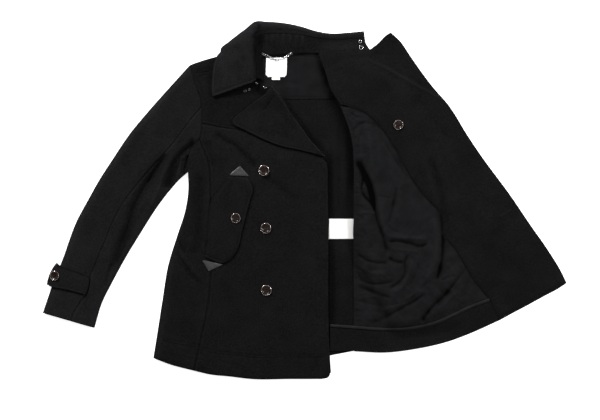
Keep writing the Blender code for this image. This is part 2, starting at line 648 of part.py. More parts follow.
def make_upper_sleeve(material):
    """From the front seam over the top of the arm, round the outer edge to the back seam."""
    rows = []
    for v in sleeve_levels():
        wide = distance_across(SLEEVE, v)
        seam = table(SLEEVE_SEAM, "v", "u", v) - SEAM / 2 / wide
        under = UNDER_SEAM - SEAM / 2 / wide
        rows.append(sleeve_row(v, wide, 0, seam, under, 5))
    return cloth("right_upper_sleeve", rows, WOOL, material)


def make_under_sleeve(material):
    """From the front seam round the inner edge and under the arm to the back seam."""
    rows = []
    for v in sleeve_levels():
        wide = distance_across(SLEEVE, v)
        seam = table(SLEEVE_SEAM, "v", "u", v) + SEAM / 2 / wide
        under = UNDER_SEAM + SEAM / 2 / wide
        rows.append(sleeve_row(v, wide, 1, seam, under, 8)[::-1])
    return cloth("right_under_sleeve", rows, WOOL, material)


def tab_ring(v):
    """The cuff strap's line round the outer edge of the sleeve, wider than the sleeve there."""
    wide = distance_across(SLEEVE, v)
    edge = SLEEVE(0, v)
    inwards = SLEEVE(0.1, v) - edge
    inwards /= np.linalg.norm(inwards)
    turn = table(SLEEVE_TURN, "v", "depth", v)
    high = table(SLEEVE_HEIGHT, "v", "z", v)
    middle = (high + FLOOR_PLY) / 2
    lift = (WOOL + STRAP_WOOL) / 2 + SEAM
    seam = table(SLEEVE_SEAM, "v", "u", v - TAB_SLANT / 2)
    ring = []
    for turned in np.radians((-20, 4, 28, 50, 70, 90)):
        inward = turn - (turn + TAB_STAND_OUT) * np.cos(turned)
        edge = SLEEVE(0, v - TAB_SLANT * max(inward, 0) / wide)
        z = middle + (high - middle + lift) * np.sin(turned)
        ring.append((*(edge + inwards * inward), z))
    for u in steps(turn / wide, seam - 1.5 / wide, 4)[1:]:
        x, y = SLEEVE(u, v - TAB_SLANT * u)
        ring.append((x, y, sleeve_height(x, y, v - TAB_SLANT * u) + lift))
    return [Vector(spot) for spot in ring]


def make_tab(material):
    """Buttoned strap, sewn in the front seam, that reaches round the outer edge."""
    both = list(zip(tab_ring(TAB_TOP), tab_ring(TAB_FOOT)))
    rows = [[a.lerp(b, share) for a, b in both] for share in steps(0, 1, 3)]
    return cloth("right_sleeve_tab", rows, STRAP_WOOL, material)


# ================================================================ collar
def fall_path(row):
    """Across the collar fall: from its seam with the stand over the roll to its free edge."""
    seam, roll, edge = (np.array(row[i:i + 3], float) for i in (0, 3, 6))
    under = row[9]
    if not under:
        crown = [roll + (edge - roll) * s + np.array((0, 0, 2.0 * s * (1 - s)))
                 for s in steps(0, 1, 8)]
        return np.vstack([[seam], crown])
    out = edge[:2] - roll[:2]
    reach = np.linalg.norm(out)
    out /= reach
    floor = COLLAR_WOOL / 2
    turn_in = min(reach * 0.6, 9)
    path = [seam]
    for t in np.radians(steps(0, 90, 6)):
        path.append((*(roll[:2] + out * reach * np.sin(t)),
                     edge[2] + (roll[2] - edge[2]) * np.cos(t)))
    for t in np.radians(steps(0, 90, 4))[1:]:
        path.append((*(edge[:2] - out * turn_in * (1 - np.cos(t))),
                     edge[2] - (edge[2] - floor) * np.sin(t)))
    path.append((*(edge[:2] - out * (turn_in + under)), floor))
    return np.array(path)


def make_fall(material):
    """Collar fall: a leaf on the left, turned under along the back of the neck."""
    rows = [[along(fall_path(row), share) for share in steps(0, 1, 12)] for row in FALL_ROWS]
    return cloth("collar_fall", [row[::-1] for row in rows], COLLAR_WOOL, material)


def make_stand(material):
    """Collar stand, from the neck seam up to the fall."""
    rows = []
    for foot, fall in zip(STAND_FEET, FALL_ROWS):
        path = fall_path(fall)
        top, onward = path[0], path[1] - path[0]
        top = top - onward / np.linalg.norm(onward) * STAND_GAP
        below = top - onward / np.linalg.norm(onward) * 3
        rows.append([along(smooth([foot, below, top]), share) for share in steps(0, 1, 4)])
    return cloth("collar_stand", [row[::-1] for row in rows], STAND_WOOL, material)


# ================================================================ opened left front
ABOVE_LINING = chain(OPEN_FOLD, ARMHOLE_TURN)
FACING = sheet_between(chain(OPEN_NECK, OPEN_LAPEL), chain(OPEN_HEM),
                       chain(OPEN_FOLD, ARMHOLE_TURN, FACING_SEAM, FACING_END),
                       chain(OPEN_EDGE))
LINING = sheet_between(chain(LINING_TOP), chain(TAPE_LINE), chain(LINING_SIDE),
                       chain(FACING_SEAM))
HEM = sheet_between(chain(TAPE_LINE), chain(HEM_LINE),
                    chain([TAPE_LINE[0], HEM_LINE[0]]), chain(FACING_END))
TOP_ROWS, LINING_ROWS, HEM_ROWS = 6, 15, 2
FACING_COLUMNS, LINING_COLUMNS = 12, 12


def facing_levels():
    """Shares down the facing: above the lining, beside it, and beside the hem."""
    above = length_of(ABOVE_LINING)
    beside = length_of(chain(FACING_SEAM))
    whole = above + beside + length_of(chain(FACING_END))
    first, second = above / whole, (above + beside) / whole
    return [*steps(0, first, TOP_ROWS), *steps(first, second, LINING_ROWS)[1:],
            *steps(second, 1, HEM_ROWS)[1:]]


def facing_grid(inset):
    """Points of the facing, each row from the front edge to the lining."""
    rows = []
    for v in facing_levels():
        wide = distance_across(FACING, v)
        rows.append([FACING(u, v) for u in steps(1 - inset / wide, inset / wide, FACING_COLUMNS)])
    return rows


def lining_grid():
    """Points of the lining, each row from the facing to the side seam."""
    return [[LINING(u, v) for u in steps(1, 0, LINING_COLUMNS)] for v in steps(0, 1, LINING_ROWS)]


def hem_grid():
    return [[HEM(u, v) for u in steps(1, 0, LINING_COLUMNS)] for v in steps(0, 1, HEM_ROWS)]


def raised(spots, above):
    return [(x, y, open_height(x, y) + above) for x, y in spots]


def make_left_front(material):
    """Outer cloth of the opened front, face down: the same grid as the facing, lining and hem."""
    front = [raised(row, 0) for row in facing_grid(0)]
    inner = [raised(row[1:], 0) for row in lining_grid() + hem_grid()[1:]]
    return cloth("left_front", front, WOOL, material, inner, TOP_ROWS)


def make_left_facing(material):
    """Facing of the opened front, from the lining to the front edge."""
    rows = [raised(row, PLY + LAYER_ROOM) for row in facing_grid(EDGE_INSET)]
    return cloth("left_facing", rows, WOOL, material)


def make_lining(material):
    """Loose satin lining, puffed up over the hidden sleeve and creased."""
    base = (WOOL + SATIN) / 2 + SEAM + LAYER_ROOM
    coarse = [raised(row, base) for row in lining_grid()]
    rows = []
    tall = distance_down(LINING, 0.5)
    for i, v in enumerate(steps(0, 1, 2 * LINING_ROWS)):
        wide = distance_across(LINING, v)
        row = []
        for j, u in enumerate(steps(1, 0, 2 * LINING_COLUMNS)):
            near = [np.array(coarse[k][m]) for k in (i // 2, (i + 1) // 2)
                    for m in (j // 2, (j + 1) // 2)]
            x, y, z = sum(near) / 4
            inset = min(u * wide, (1 - u) * wide, (1 - v) * tall, v * tall)
            puff = LINING_PUFF * ease(inset / 30) * (0.35 + 0.65 * ease(over_hidden_sleeve(x, y) / 8))
            lift = puff - folds_at(x, y, LINING_FOLDS) * ease(inset / 16)
            row.append((x, y, z + max(lift, 0)))
        rows.append(row)
    return cloth("left_lining", pulled_in(rows, SEAM), SATIN, material)


def pulled_in(rows, by):
    """The grid with its border points drawn towards their neighbours inside."""
    grid = np.array(rows)
    old = grid.copy()
    for edge, inner in (((0, slice(None)), (1, slice(None))), ((-1, slice(None)), (-2, slice(None))),
                        ((slice(None), 0), (slice(None), 1)), ((slice(None), -1), (slice(None), -2))):
        run = old[inner] - old[edge]
        grid[edge] += run / np.linalg.norm(run, axis=-1, keepdims=True) * by
    return grid.tolist()


def back_hem(count):
    """The back's stretch of the hem, from the front edge to the side seam."""
    top, bottom = smooth(BACK_TAPE), smooth(BACK_HEM)
    return [[along(top, s) + (along(bottom, s) - along(top, s)) * v for s in steps(1, 0, count)]
            for v in steps(0, 1, HEM_ROWS)]


def make_hem_facing(material):
    """Hem turned up inside the back and the opened front."""
    above = PLY + LAYER_ROOM
    rows = []
    for front, back in zip(hem_grid(), back_hem(3)):
        row = raised(front, above) + [(x, y, FLOOR_PLY + above) for x, y in back[1:]]
        rows.append([np.array(spot) for spot in row])
    return cloth("hem_facing", pulled_in(rows, EDGE_INSET), WOOL, material)


def make_hem_tape(material):
    """Binding along the raw edge of the hem, just over the end of the lining."""
    above = PLY + LAYER_ROOM + (WOOL + SATIN) / 2 + SEAM + 0.3
    upper = []
    for x, y in hem_grid()[0] + back_hem(3)[0][1:]:
        z = (open_height(x, y) if x > HEM_LINE[0][0] else FLOOR_PLY) + above
        upper.append((x, y, z))
    line = np.array(upper)
    run = np.gradient(line[:, :2], axis=0)
    run /= np.linalg.norm(run, axis=1)[:, None]
    side = np.column_stack([-run[:, 1], run[:, 0], np.zeros(len(run))])
    rows = [(line + side * aside).tolist() for aside in (-2.5, TAPE_WIDTH - 2.5)]
    return cloth("hem_tape", [row[1:] for row in rows], SATIN, material)


def make_left_sleeve(material):
    """Plain two-piece sleeve, flat under the opened front."""
    for name, from_edge, seam in (("left_upper_sleeve", 0, 0.5), ("left_under_sleeve", 1, 0.5)):
        rows = []
        for v in steps(0, 1, 9):
            wide = distance_across(HIDDEN_SLEEVE, v)
            toward = 1 if from_edge == 0 else -1
            end = seam - toward * SEAM / 2 / wide
            high = table(HIDDEN_HEIGHT, "v", "z", v)
            row = [(*HIDDEN_SLEEVE(end, v), FLOOR_PLY)]
            for inward, z in fold_profile(HIDDEN_TURN, high, 0, 4):
                row.append((*HIDDEN_SLEEVE(from_edge + toward * inward / wide, v), z))
            row.append((*HIDDEN_SLEEVE(end, v), high))
            rows.append(row if from_edge == 0 else row[::-1])
        cloth(name, rows, WOOL, material)


# ================================================================ small pieces
def turned_button(name, width, material):
    """A button with a raised rim and a dished middle, from its profile."""
    r = width / 2
    profile = [(0, 0.55), (r * 0.66, 0.55), (r * 0.80, 1.0), (r * 0.94, 0.9), (r, 0.55),
               (r * 0.82, 0), (0, 0)]
    mesh = bpy.data.meshes.new(name)
    thick = BUTTON_THICK
    spots = [Vector((x, 0, z * thick)) * MM for x, z in profile]
    mesh.from_pydata(spots, [(i, i + 1) for i in range(len(spots) - 1)], [])
    item = add_object(name, mesh, material)
    turn = item.modifiers.new("turned", "SCREW")
    turn.steps = turn.render_steps = 14
    turn.use_merge_vertices = True
    turn.merge_threshold = 0.00001
    turn.use_normal_calculate = False
    weld = item.modifiers.new("middle", "WELD")
    weld.merge_threshold = 0.00001
    return item


def lean(direction):
    """A rotation that turns +Z to a direction."""
    return Vector((0, 0, 1)).rotation_difference(Vector(direction)).to_matrix().to_4x4()


def place_button(item, x, y, width, height):
    """Seat a button on the cloth: level with three points of it, and clear of its highest."""
    r = width * 0.42
    around = [Vector((x + r * np.cos(a), y + r * np.sin(a), 0)) for a in np.radians((90, 210, 330))]
    for spot in around:
        spot.z = height(spot.x, spot.y)
    normal = (around[1] - around[0]).cross(around[2] - around[0]).normalized()
    middle = sum(around, Vector()) / 3
    rise = 0
    for a in np.radians(np.arange(0, 360, 30)):
        for share in (0.0, 0.5, 0.85):
            spot = middle + Vector((r * share * np.cos(a), r * share * np.sin(a), 0)) * 1.2
            plane = middle.z - (normal.x * (spot.x - middle.x)
                                + normal.y * (spot.y - middle.y)) / normal.z
            rise = max(rise, height(spot.x, spot.y) - plane)
    place = middle + Vector((0, 0, rise + BUTTON_STAND_OFF))
    item.matrix_world = Matrix.Translation(place * MM) @ lean(normal)


def make_label(name, corners, height, material):
    """A flat rectangle of woven tape: corners are left, right, top and bottom."""
    left, right, top, bottom = corners
    spots = sheet_between(*(np.array(line, float) for line in (
        [(left, top), (right, top)], [(left, bottom), (right, bottom)],
        [(left, top), (left, bottom)], [(right, top), (right, bottom)])))
    rows = resting(spots, steps(0, 1, 3), steps(0, 1, 3), height, LABEL / 2 + SEAM)
    return cloth(name, rows, LABEL, material)


def make_patch(name, corners, height, material):
    """A small triangle of leather: its first corner, and rows from there to the far side."""
    tip, side_a, side_b = (np.array(corner, float) for corner in corners)
    rows = []
    for share in steps(0.1, 1, 3):
        a, b = tip + (side_a - tip) * share, tip + (side_b - tip) * share
        row = [a + (b - a) * t for t in steps(0, 1, 3)]
        rows.append([(x, y, height(x, y) + SATIN / 2 + SEAM) for x, y in row])
    return cloth(name, rows, SATIN, material)


def make_flap(height, material):
    """Pocket flap, sewn along its slanted left edge."""
    flap = sheet_between(chain(FLAP_TOP), chain(FLAP_END), chain(FLAP_SEAM), chain(FLAP_EDGE))
    rows = resting(flap, steps(0, 1, 8), steps(0, 1, 12), height, FLAP_LIFT + WOOL / 2)
    return cloth("pocket_flap", rows, WOOL, material)


def make_chain(height, material):
    """Hanger chain as one wire along its run."""
    line = smooth(CHAIN)
    curve = bpy.data.curves.new("hanger_chain", "CURVE")
    curve.dimensions = "3D"
    curve.bevel_depth = CHAIN_THICK / 2 * MM
    curve.bevel_resolution = 2
    curve.use_fill_caps = True
    run = curve.splines.new("POLY")
    run.points.add(14)
    for point, share in zip(run.points, steps(0, 1, 14)):
        x, y = along(line, share)
        point.co = (x * MM, y * MM, (height(x, y) + CHAIN_THICK / 2 + 0.9) * MM, 1)
    return add_object("hanger_chain", curve, material)


def make_loop(name, place, size, turned, height, material):
    """A closed loop of wire, lying on what is below it."""
    long, wide, wire = size
    bend = bpy.data.curves.new(name, "CURVE")
    bend.dimensions = "3D"
    bend.bevel_depth = wire / 2 * MM
    bend.bevel_resolution = 1
    run = bend.splines.new("POLY")
    run.use_cyclic_u = True
    run.points.add(LOOP_POINTS - 1)
    turn = Matrix.Rotation(np.radians(turned), 3, "Z")
    for i, point in enumerate(run.points):
        angle = 2 * np.pi * i / LOOP_POINTS
        spot = turn @ Vector(((long - wire) / 2 * np.cos(angle), (wide - wire) / 2 * np.sin(angle), 0))
        point.co = (*(spot * MM), 1)
    item = add_object(name, bend, material)
    place_button(item, *place, long, height)
    item.matrix_world = item.matrix_world @ Matrix.Translation((0, 0, wire / 2 * MM))


def make_all():
    clear_scene()
    bpy.context.scene.collection.children.link(bpy.data.collections.new("pea_coat"))
    wool = finish("wool", (0.012, 0.012, 0.014), 0.9)
    satin = finish("satin", (0.016, 0.017, 0.02), 0.45)
    leather = finish("leather", (0.06, 0.06, 0.06), 0.35)
    horn = finish("horn", (0.05, 0.03, 0.025), 0.3)
    tape = finish("label", (0.85, 0.85, 0.82), 0.8)
    metal = finish("metal", (0.6, 0.6, 0.62), 0.25, 1.0)

    side_front = make_side_front(wool)
    front = make_front(wool)
    yoke = make_yoke(wool)
    back = make_back(wool)
    right_facing = make_right_facing(wool)
    make_lapel_under(wool)
    yoke_lining = make_yoke_lining(satin)
    make_upper_sleeve(wool)
    make_under_sleeve(wool)
    make_tab(wool)
    fall = make_fall(wool)
    stand = make_stand(wool)
    make_left_front(wool)
    left_facing = make_left_facing(wool)
    make_lining(satin)
    make_hem_facing(wool)
    make_hem_tape(satin)
    make_left_sleeve(wool)

    on_front = top_of(front, side_front, yoke)
    flap = make_flap(on_front, wool)
    make_patch("pocket_patch_upper", PATCH_UPPER, on_front, leather)
    make_patch("pocket_patch_lower", PATCH_LOWER, on_front, leather)
    on_all = top_of(front, side_front, yoke, flap, left_facing, right_facing)
    for name, x, y, width in BUTTONS:
        place_button(turned_button(name, width, horn), x, y, width, on_all)
    tab_button(horn)
    on_back = top_of(back, yoke_lining)
    label = make_label("neck_label", (-93, -43, 342, 296), on_back, tape)
    make_label("size_tab", (-79, -59, 295.4, 289), on_back, tape)
    make_label("care_label", (58, 116.5, -44, -92), on_back, tape)
    on_ends = top_of(stand, fall, left_facing, right_facing, yoke)
    for name, x, y, long, wide, wire, turned in LOOPS:
        make_loop(name, (x, y), (long, wide, wire), turned, on_ends, metal)
    make_chain(top_of(stand, yoke_lining, label, back), metal)


def tab_button(material):
    """The strap's button sits on the turn of the strap, tipped outwards."""
    v = (TAB_TOP + TAB_FOOT) / 2
    item = turned_button("tab_button", SMALL_BUTTON_WIDTH, material)
    low, spot, high = tab_ring(v)[2:5]
    slope = (high - low).normalized()
    run = (tab_ring(TAB_TOP)[3] - tab_ring(TAB_FOOT)[3]).normalized()
    normal = slope.cross(run)
    normal = normal if normal.z > 0 else -normal
    place = spot + normal * (STRAP_WOOL / 2 + BUTTON_STAND_OFF)
    item.matrix_world = Matrix.Translation(place * MM) @ lean(normal)


make_all()
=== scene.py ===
"""Pea coat of heavy black melton, laid on its back with its left front thrown open.

Sizes are millimetres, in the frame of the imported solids: collar towards +Y, +Z up off the
surface, the closed right front towards -X. MM turns them into metres when a mesh is made.
"""

import bpy
import numpy as np
from mathutils import Matrix, Vector, noise
from mathutils.bvhtree import BVHTree


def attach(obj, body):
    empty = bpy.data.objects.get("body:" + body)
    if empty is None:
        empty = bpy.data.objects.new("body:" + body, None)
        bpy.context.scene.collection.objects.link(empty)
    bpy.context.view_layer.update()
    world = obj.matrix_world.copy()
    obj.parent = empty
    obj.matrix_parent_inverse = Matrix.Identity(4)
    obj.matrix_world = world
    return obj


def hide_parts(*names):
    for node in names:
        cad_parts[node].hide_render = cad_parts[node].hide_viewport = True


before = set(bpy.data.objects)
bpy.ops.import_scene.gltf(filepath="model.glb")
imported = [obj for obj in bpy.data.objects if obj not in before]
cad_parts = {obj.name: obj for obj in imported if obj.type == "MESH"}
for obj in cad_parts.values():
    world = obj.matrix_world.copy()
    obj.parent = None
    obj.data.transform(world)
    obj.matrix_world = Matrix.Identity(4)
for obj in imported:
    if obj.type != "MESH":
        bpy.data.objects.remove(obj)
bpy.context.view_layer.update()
MM = 0.001

# ------------------------------------------------------------------------------------- back
# The back is one layer of melton, flat on the surface. Like every cloth piece here it is a
# fine sheet through the middle of the cloth, laid between the lines on which it is cut, with
# the cloth's thickness given to it and its raw edges softened.
WOOL = 2.4
SEAM = 0.4
PLY = WOOL + SEAM
FLOOR_PLY = WOOL / 2
FOLD_DEPTH = 24
FOLD_REACH = 34
SIDE_GAP, SHOULDER_GAP, ARMHOLE_GAP = 1.8, 0.8, 2.6
YOKE_OVER_NECK = 8.4
BACK_SHOWS = (58, 117, -290, 225)    # left, right, foot and top of what isn't covered

SHOULDER = [(-275, 323), (-251, 332), (-211, 344), (-170, 354), (-131, 362)]
ARMHOLE_TOP = [(-275, 323), (-263, 280), (-251, 248), (-247, 217), (-247, 184)]
ARMHOLE_FRONT = [(-247, 184), (-248, 164), (-253, 148)]
ARMHOLE_SIDE = [(-253, 148), (-262.5, 138), (-272, 123), (-279, 97), (-278.5, 67)]
ARMHOLE_SLEEVE = [(-253, 148), (-262.8, 138.2), (-272.4, 123.3), (-279.5, 97), (-279.2, 70)]
SIDE_EDGE = [(-278.5, 67), (-278, 25), (-285, -23), (-304, -83), (-326, -155), (-340, -239),
             (-355, -335), (-362, -378)]
SIDE_HEM = [(-362, -378), (-323, -393), (-266, -408)]
PRINCESS_SEAM = [(-253, 148), (-242, 121), (-231, 92), (-226, 25), (-225, -95), (-225, -167),
                 (-232, -251), (-251, -340), (-266, -408)]
YOKE_SEAM = [(-247, 184), (-203, 176), (-155, 169), (-71, 160), (10, 148)]
ROLL_LINE = [(-79, 275), (-52, 241), (-35, 212), (-11, 179), (13, 145), (32, 124), (49, 104)]
NECK_SIDE = [(-131, 362), (-123, 340), (-118, 310), (-115, 294), (-104, 281), (-79, 275)]
NECK_SEAM = [(-95, 346), (-59, 351), (-11, 353), (37, 353)]
LEFT_SHOULDER = [(37, 357), (70, 332), (100, 312), (116, 300)]
BACK_FOLDS = [
    # line of the fold, width, depth
    ([(62, 145), (63, 49), (62, -35)], 6, 0.9),
    ([(80, 193), (81, 97), (80, -28)], 3, 0.7),
    ([(97, 193), (94, 97), (94, 1)], 5, -0.5),
    ([(68, -107), (70, -215), (68, -292)], 5, 0.7),
    ([(92, -107), (94, -215), (92, -292)], 8, -0.4),
]
# Painted shadows on the back and the neck lining, along the foot of the closed front's raised edge
# and of the opened front's fold: line, width, depth.
EDGE_SHADOWS = [
    ([(27, 358), (36, 340), (48, 304), (62, 260), (82, 222), (95, 190), (106, 160),
      (111, 120), (112, 60), (112, 10)], 10, 5),
    ([(-76, 281), (-47, 243), (-30, 214), (-6, 181), (18, 147), (37, 127), (56, 104),
      (61, 60), (63, -20), (64, -200), (65, -360)], 7, 4),
]


MARKS_SHARE = 0.8
FOLD_FADE = 0.12
RAW_EDGE = 58


def smooth(points):
    """A fine line through the points, smooth at each."""
    spots = np.array(points, float)
    if len(spots) < 3:
        return spots
    reach = np.concatenate([[0], np.cumsum(np.linalg.norm(np.diff(spots, axis=0), axis=1))])
    slope = np.gradient(spots, reach, axis=0)
    fine = np.linspace(0, reach[-1], 14 * (len(spots) - 1) + 1)
    span = np.clip(np.searchsorted(reach, fine, "right") - 1, 0, len(spots) - 2)
    length = (reach[span + 1] - reach[span])[:, None]
    s = (fine - reach[span])[:, None] / length
    return ((2 * s**3 - 3 * s**2 + 1) * spots[span] + (s**3 - 2 * s**2 + s) * length * slope[span]
            + (3 * s**2 - 2 * s**3) * spots[span + 1] + (s**3 - s**2) * length * slope[span + 1])


def chain(*lines):
    """Lines joined end to end, with a corner wherever two of them meet."""
    return np.vstack([smooth(line) for line in lines])


def shares(line):
    """How far along its line each point is, from 0 to 1."""
    reach = np.concatenate([[0], np.cumsum(np.linalg.norm(np.diff(line, axis=0), axis=1))])
    return reach / reach[-1]


def length_of(line):
    """The length of a line, measured along it."""
    return np.linalg.norm(np.diff(line, axis=0), axis=1).sum()


def along(line, share):
    """The points at shares of the line's length."""
    reach = shares(line)
    return np.stack([np.interp(share, reach, line[:, k]) for k in range(line.shape[1])], axis=-1)


def moved(line, distance):
    """The line moved sideways, to the right of its direction."""
    run = np.gradient(line, axis=0)
    run /= np.maximum(np.linalg.norm(run, axis=1), 1e-9)[:, None]
    return line + distance * np.column_stack([run[:, 1], -run[:, 0]])


def steps(first, last, count):
    """Even steps from the first to the last, with both ends."""
    return np.linspace(first, last, count + 1)


def ease(value):
    """A soft step from 0 to 1."""
    value = np.clip(value, 0, 1)
    return value * value * (3 - 2 * value)


def sheet_between(top, bottom, left, right):
    """A flat sheet between four lines: at(u, v), u from left to right, v from top to bottom."""
    corner = top[0], top[-1], bottom[0], bottom[-1]

    def at(u, v):
        u, v = np.broadcast_arrays(np.asarray(u, float), np.asarray(v, float))
        a, b = u[..., None], v[..., None]
        across = (1 - b) * along(top, u) + b * along(bottom, u)
        down = (1 - a) * along(left, v) + a * along(right, v)
        flat = ((1 - a) * (1 - b) * corner[0] + a * (1 - b) * corner[1]
                + (1 - a) * b * corner[2] + a * b * corner[3])
        return across + down - flat

    return at


def flat_places(at, u, v):
    """The x and the y of places on a sheet."""
    return np.moveaxis(at(u, v), -1, 0)


def distance_across(at, v):
    """The width of a sheet at v."""
    return length_of(at(np.linspace(0, 1, 9), v))


def distance_down(at, u):
    """The height of a sheet at u."""
    return length_of(at(u, np.linspace(0, 1, 9)))


def ticks(far, longest, spacing, low, high):
    """Shares of a width far: low are distances in from its start, high are in from its end, and
    even steps, about the spacing apart where it is longest, fill the rest. Where the width is
    too short for them, low and high draw together."""
    far = np.asarray(far, float)[..., None]
    low, high = np.array(low, float), np.array(high, float)[::-1]
    squeeze = np.minimum(1, MARKS_SHARE * far / (low[-1] + high[0]))
    count = max(2, int(round((longest - low[-1] - high[0]) / spacing)))
    first, last = low[-1] * squeeze, far - high[0] * squeeze
    inner = first + (last - first) * (np.arange(1, count) / count)
    return np.concatenate([low * squeeze, inner, far - high * squeeze], axis=-1) / far


def lattice(at, spacing, left=(0.2,), right=(0.2,), top=(0.2,), bottom=(0.2,)):
    """A fine grid over a sheet: flat places x, y, their shares u, v, and their distances from
    the left, the right, the top and the bottom."""
    part = np.linspace(0, 1, 41)
    wide = np.array([distance_across(at, v) for v in part])
    tall = np.array([distance_down(at, u) for u in part])
    rows = ticks(tall, tall.max(), spacing, top, bottom).mean(axis=0)
    u = ticks(np.interp(rows, part, wide), wide.max(), spacing, left, right)
    v = ticks(np.interp(u.mean(axis=0), part, tall), tall.max(), spacing, top, bottom).T
    across, down = np.interp(v, part, wide), np.interp(u, part, tall)
    return (*flat_places(at, u, v), u, v,
            (u * across, (1 - u) * across, v * down, (1 - v) * down))


def nearest_on(line, x, y):
    """How far each place is from a line, and the share of its length that is beside it."""
    spots = np.stack([x, y], -1)
    reach = shares(line)
    near, where = np.full(x.shape, 1e9), np.zeros(x.shape)
    for i in np.flatnonzero(np.diff(reach)):
        run = line[i + 1] - line[i]
        t = np.clip((spots - line[i]) @ run / (run @ run), 0, 1)
        gap = np.linalg.norm(spots - line[i] - t[..., None] * run, axis=-1)
        closer = gap < near
        near = np.where(closer, gap, near)
        where = np.where(closer, reach[i] + t * (reach[i + 1] - reach[i]), where)
    return near, where


def folds(x, y, rows, sharp=2.0):
    """How deep the troughs of a table are at each place; a minus depth is a ridge."""
    total = np.zeros(x.shape)
    for points, width, depth in rows:
        near, where = nearest_on(smooth(points)[::2] if len(points) > 2 else smooth(points), x, y)
        fade = ease(where / FOLD_FADE) * ease((1 - where) / FOLD_FADE)
        total += depth * fade * np.exp(-np.abs(near / width) ** sharp)
    return total


def swell(x, y, size, seed):
    """Soft uneven rise and fall of the cloth, from about -1 to 1."""
    return np.vectorize(lambda a, b: noise.noise(Vector((a / size, b / size, seed))))(x, y) * 1.6


# How strongly a piece's painted shade and painted highlights darken or lighten the wool's colour.
PAINTED_SHADE_SCALE = 0.1


def finish(name, numbers):
    """A new material, its nodes and its links, with these numbers on its shader's sockets."""
    material = bpy.data.materials.new(name)
    material.use_nodes = True
    nodes, links = material.node_tree.nodes, material.node_tree.links
    for socket, number in numbers.items():
        nodes["Principled BSDF"].inputs[socket].default_value = number
    return material, nodes, links


def pattern(nodes, links, kind, place, **numbers):
    """A pattern node laid on the piece, with the numbers that it is set to."""
    node = nodes.new("ShaderNodeTex" + kind)
    for socket, number in numbers.items():
        node.inputs[socket].default_value = number
    links.new(place, node.inputs["Vector"])
    return node


def on_piece(nodes):
    """A pattern that goes through the piece as it lies."""
    return nodes.new("ShaderNodeTexCoord").outputs["Object"]


def on_threads(nodes):
    """A pattern that follows the cloth's threads."""
    threads = nodes.new("ShaderNodeUVMap")
    threads.uv_map = "threads"
    return threads.outputs["UV"]


def painted_shade_of(nodes):
    """The painted light and shade on each place: plus paints shade, minus paints a highlight."""
    attribute = nodes.new("ShaderNodeAttribute")
    attribute.attribute_name = "painted_shade"
    return attribute.outputs["Fac"]


def dye(nodes, links, share, *stops):
    """The piece's colour, from a share: each stop is a place on the scale and its colour."""
    colours = nodes.new("ShaderNodeValToRGB")
    scale = colours.color_ramp.elements
    for place, _ in stops[1:-1]:
        scale.new(place)
    for element, (place, colour) in zip(scale, stops):
        element.position, element.color = place, (*colour, 1)
    links.new(share, colours.inputs["Fac"])
    links.new(colours.outputs["Color"], nodes["Principled BSDF"].inputs["Base Color"])


def emboss(nodes, links, height, strength, depth):
    """The fine relief of the surface."""
    bump = nodes.new("ShaderNodeBump")
    bump.inputs["Strength"].default_value = strength
    bump.inputs["Distance"].default_value = depth
    links.new(height, bump.inputs["Height"])
    links.new(bump.outputs["Normal"], nodes["Principled BSDF"].inputs["Normal"])


def melton(name, tone):
    """Felted wool: a short matt pile of mixed black fibres, softly mottled, with a faint bloom.

    Its colour also carries painted shade and painted highlights, kept on the piece: darker in folds
    and seams, paler on ridges and edges."""
    material, nodes, links = finish(name, {
        "Roughness": 0.9, "Specular IOR Level": 0.03, "Sheen Weight": 0.03,
        "Sheen Roughness": 0.4, "Sheen Tint": (0.9, 0.94, 1.0, 1)})
    place = on_piece(nodes)

    def grain(scale, detail, low, high):
        cloud = pattern(nodes, links, "Noise", place, Scale=scale, Detail=detail)
        span = nodes.new("ShaderNodeMapRange")
        for socket, number in (("From Min", 0.3), ("From Max", 0.7), ("To Min", low),
                               ("To Max", high)):
            span.inputs[socket].default_value = number
        links.new(cloud.outputs["Fac"], span.inputs["Value"])
        return span.outputs["Result"]

    def add(first, second):
        total = nodes.new("ShaderNodeMath")
        links.new(first, total.inputs[0])
        links.new(second, total.inputs[1])
        return total.outputs[0]

    fibre, felt = grain(1500, 2, -0.2, 0.2), grain(300, 3, -0.3, 0.3)
    mottle = grain(24, 2, 0.43, 0.57)
    # Painted shade: the piece's attribute of painted light and shade darkens the colour, and
    # lightens it where it is below zero.
    shade_factor = nodes.new("ShaderNodeMath")
    shade_factor.operation = "MULTIPLY"
    shade_factor.inputs[1].default_value = -PAINTED_SHADE_SCALE
    links.new(painted_shade_of(nodes), shade_factor.inputs[0])
    dye(nodes, links, add(add(add(fibre, felt), mottle), shade_factor.outputs[0]),
        (0, (tone * 0.3, tone * 0.3, tone * 0.32)), (1, (tone * 1.8, tone * 1.8, tone * 1.94)))
    emboss(nodes, links, add(fibre, felt), 0.6, 0.0007)
    return material


def set_out(name, mesh, material):
    """A smooth mesh becomes a piece of the coat, in its material."""
    mesh.shade_smooth()
    mesh.materials.append(material)
    piece = bpy.data.objects.new(name, mesh)
    bpy.context.scene.collection.objects.link(piece)
    return piece


def soften(piece, width, degrees):
    """Round the edges of a piece that are sharper than an angle."""
    soft = piece.modifiers.new("soft edge", "BEVEL")
    soft.width = width * MM
    soft.segments = 2
    soft.limit_method = "ANGLE"
    soft.angle_limit = np.radians(degrees)


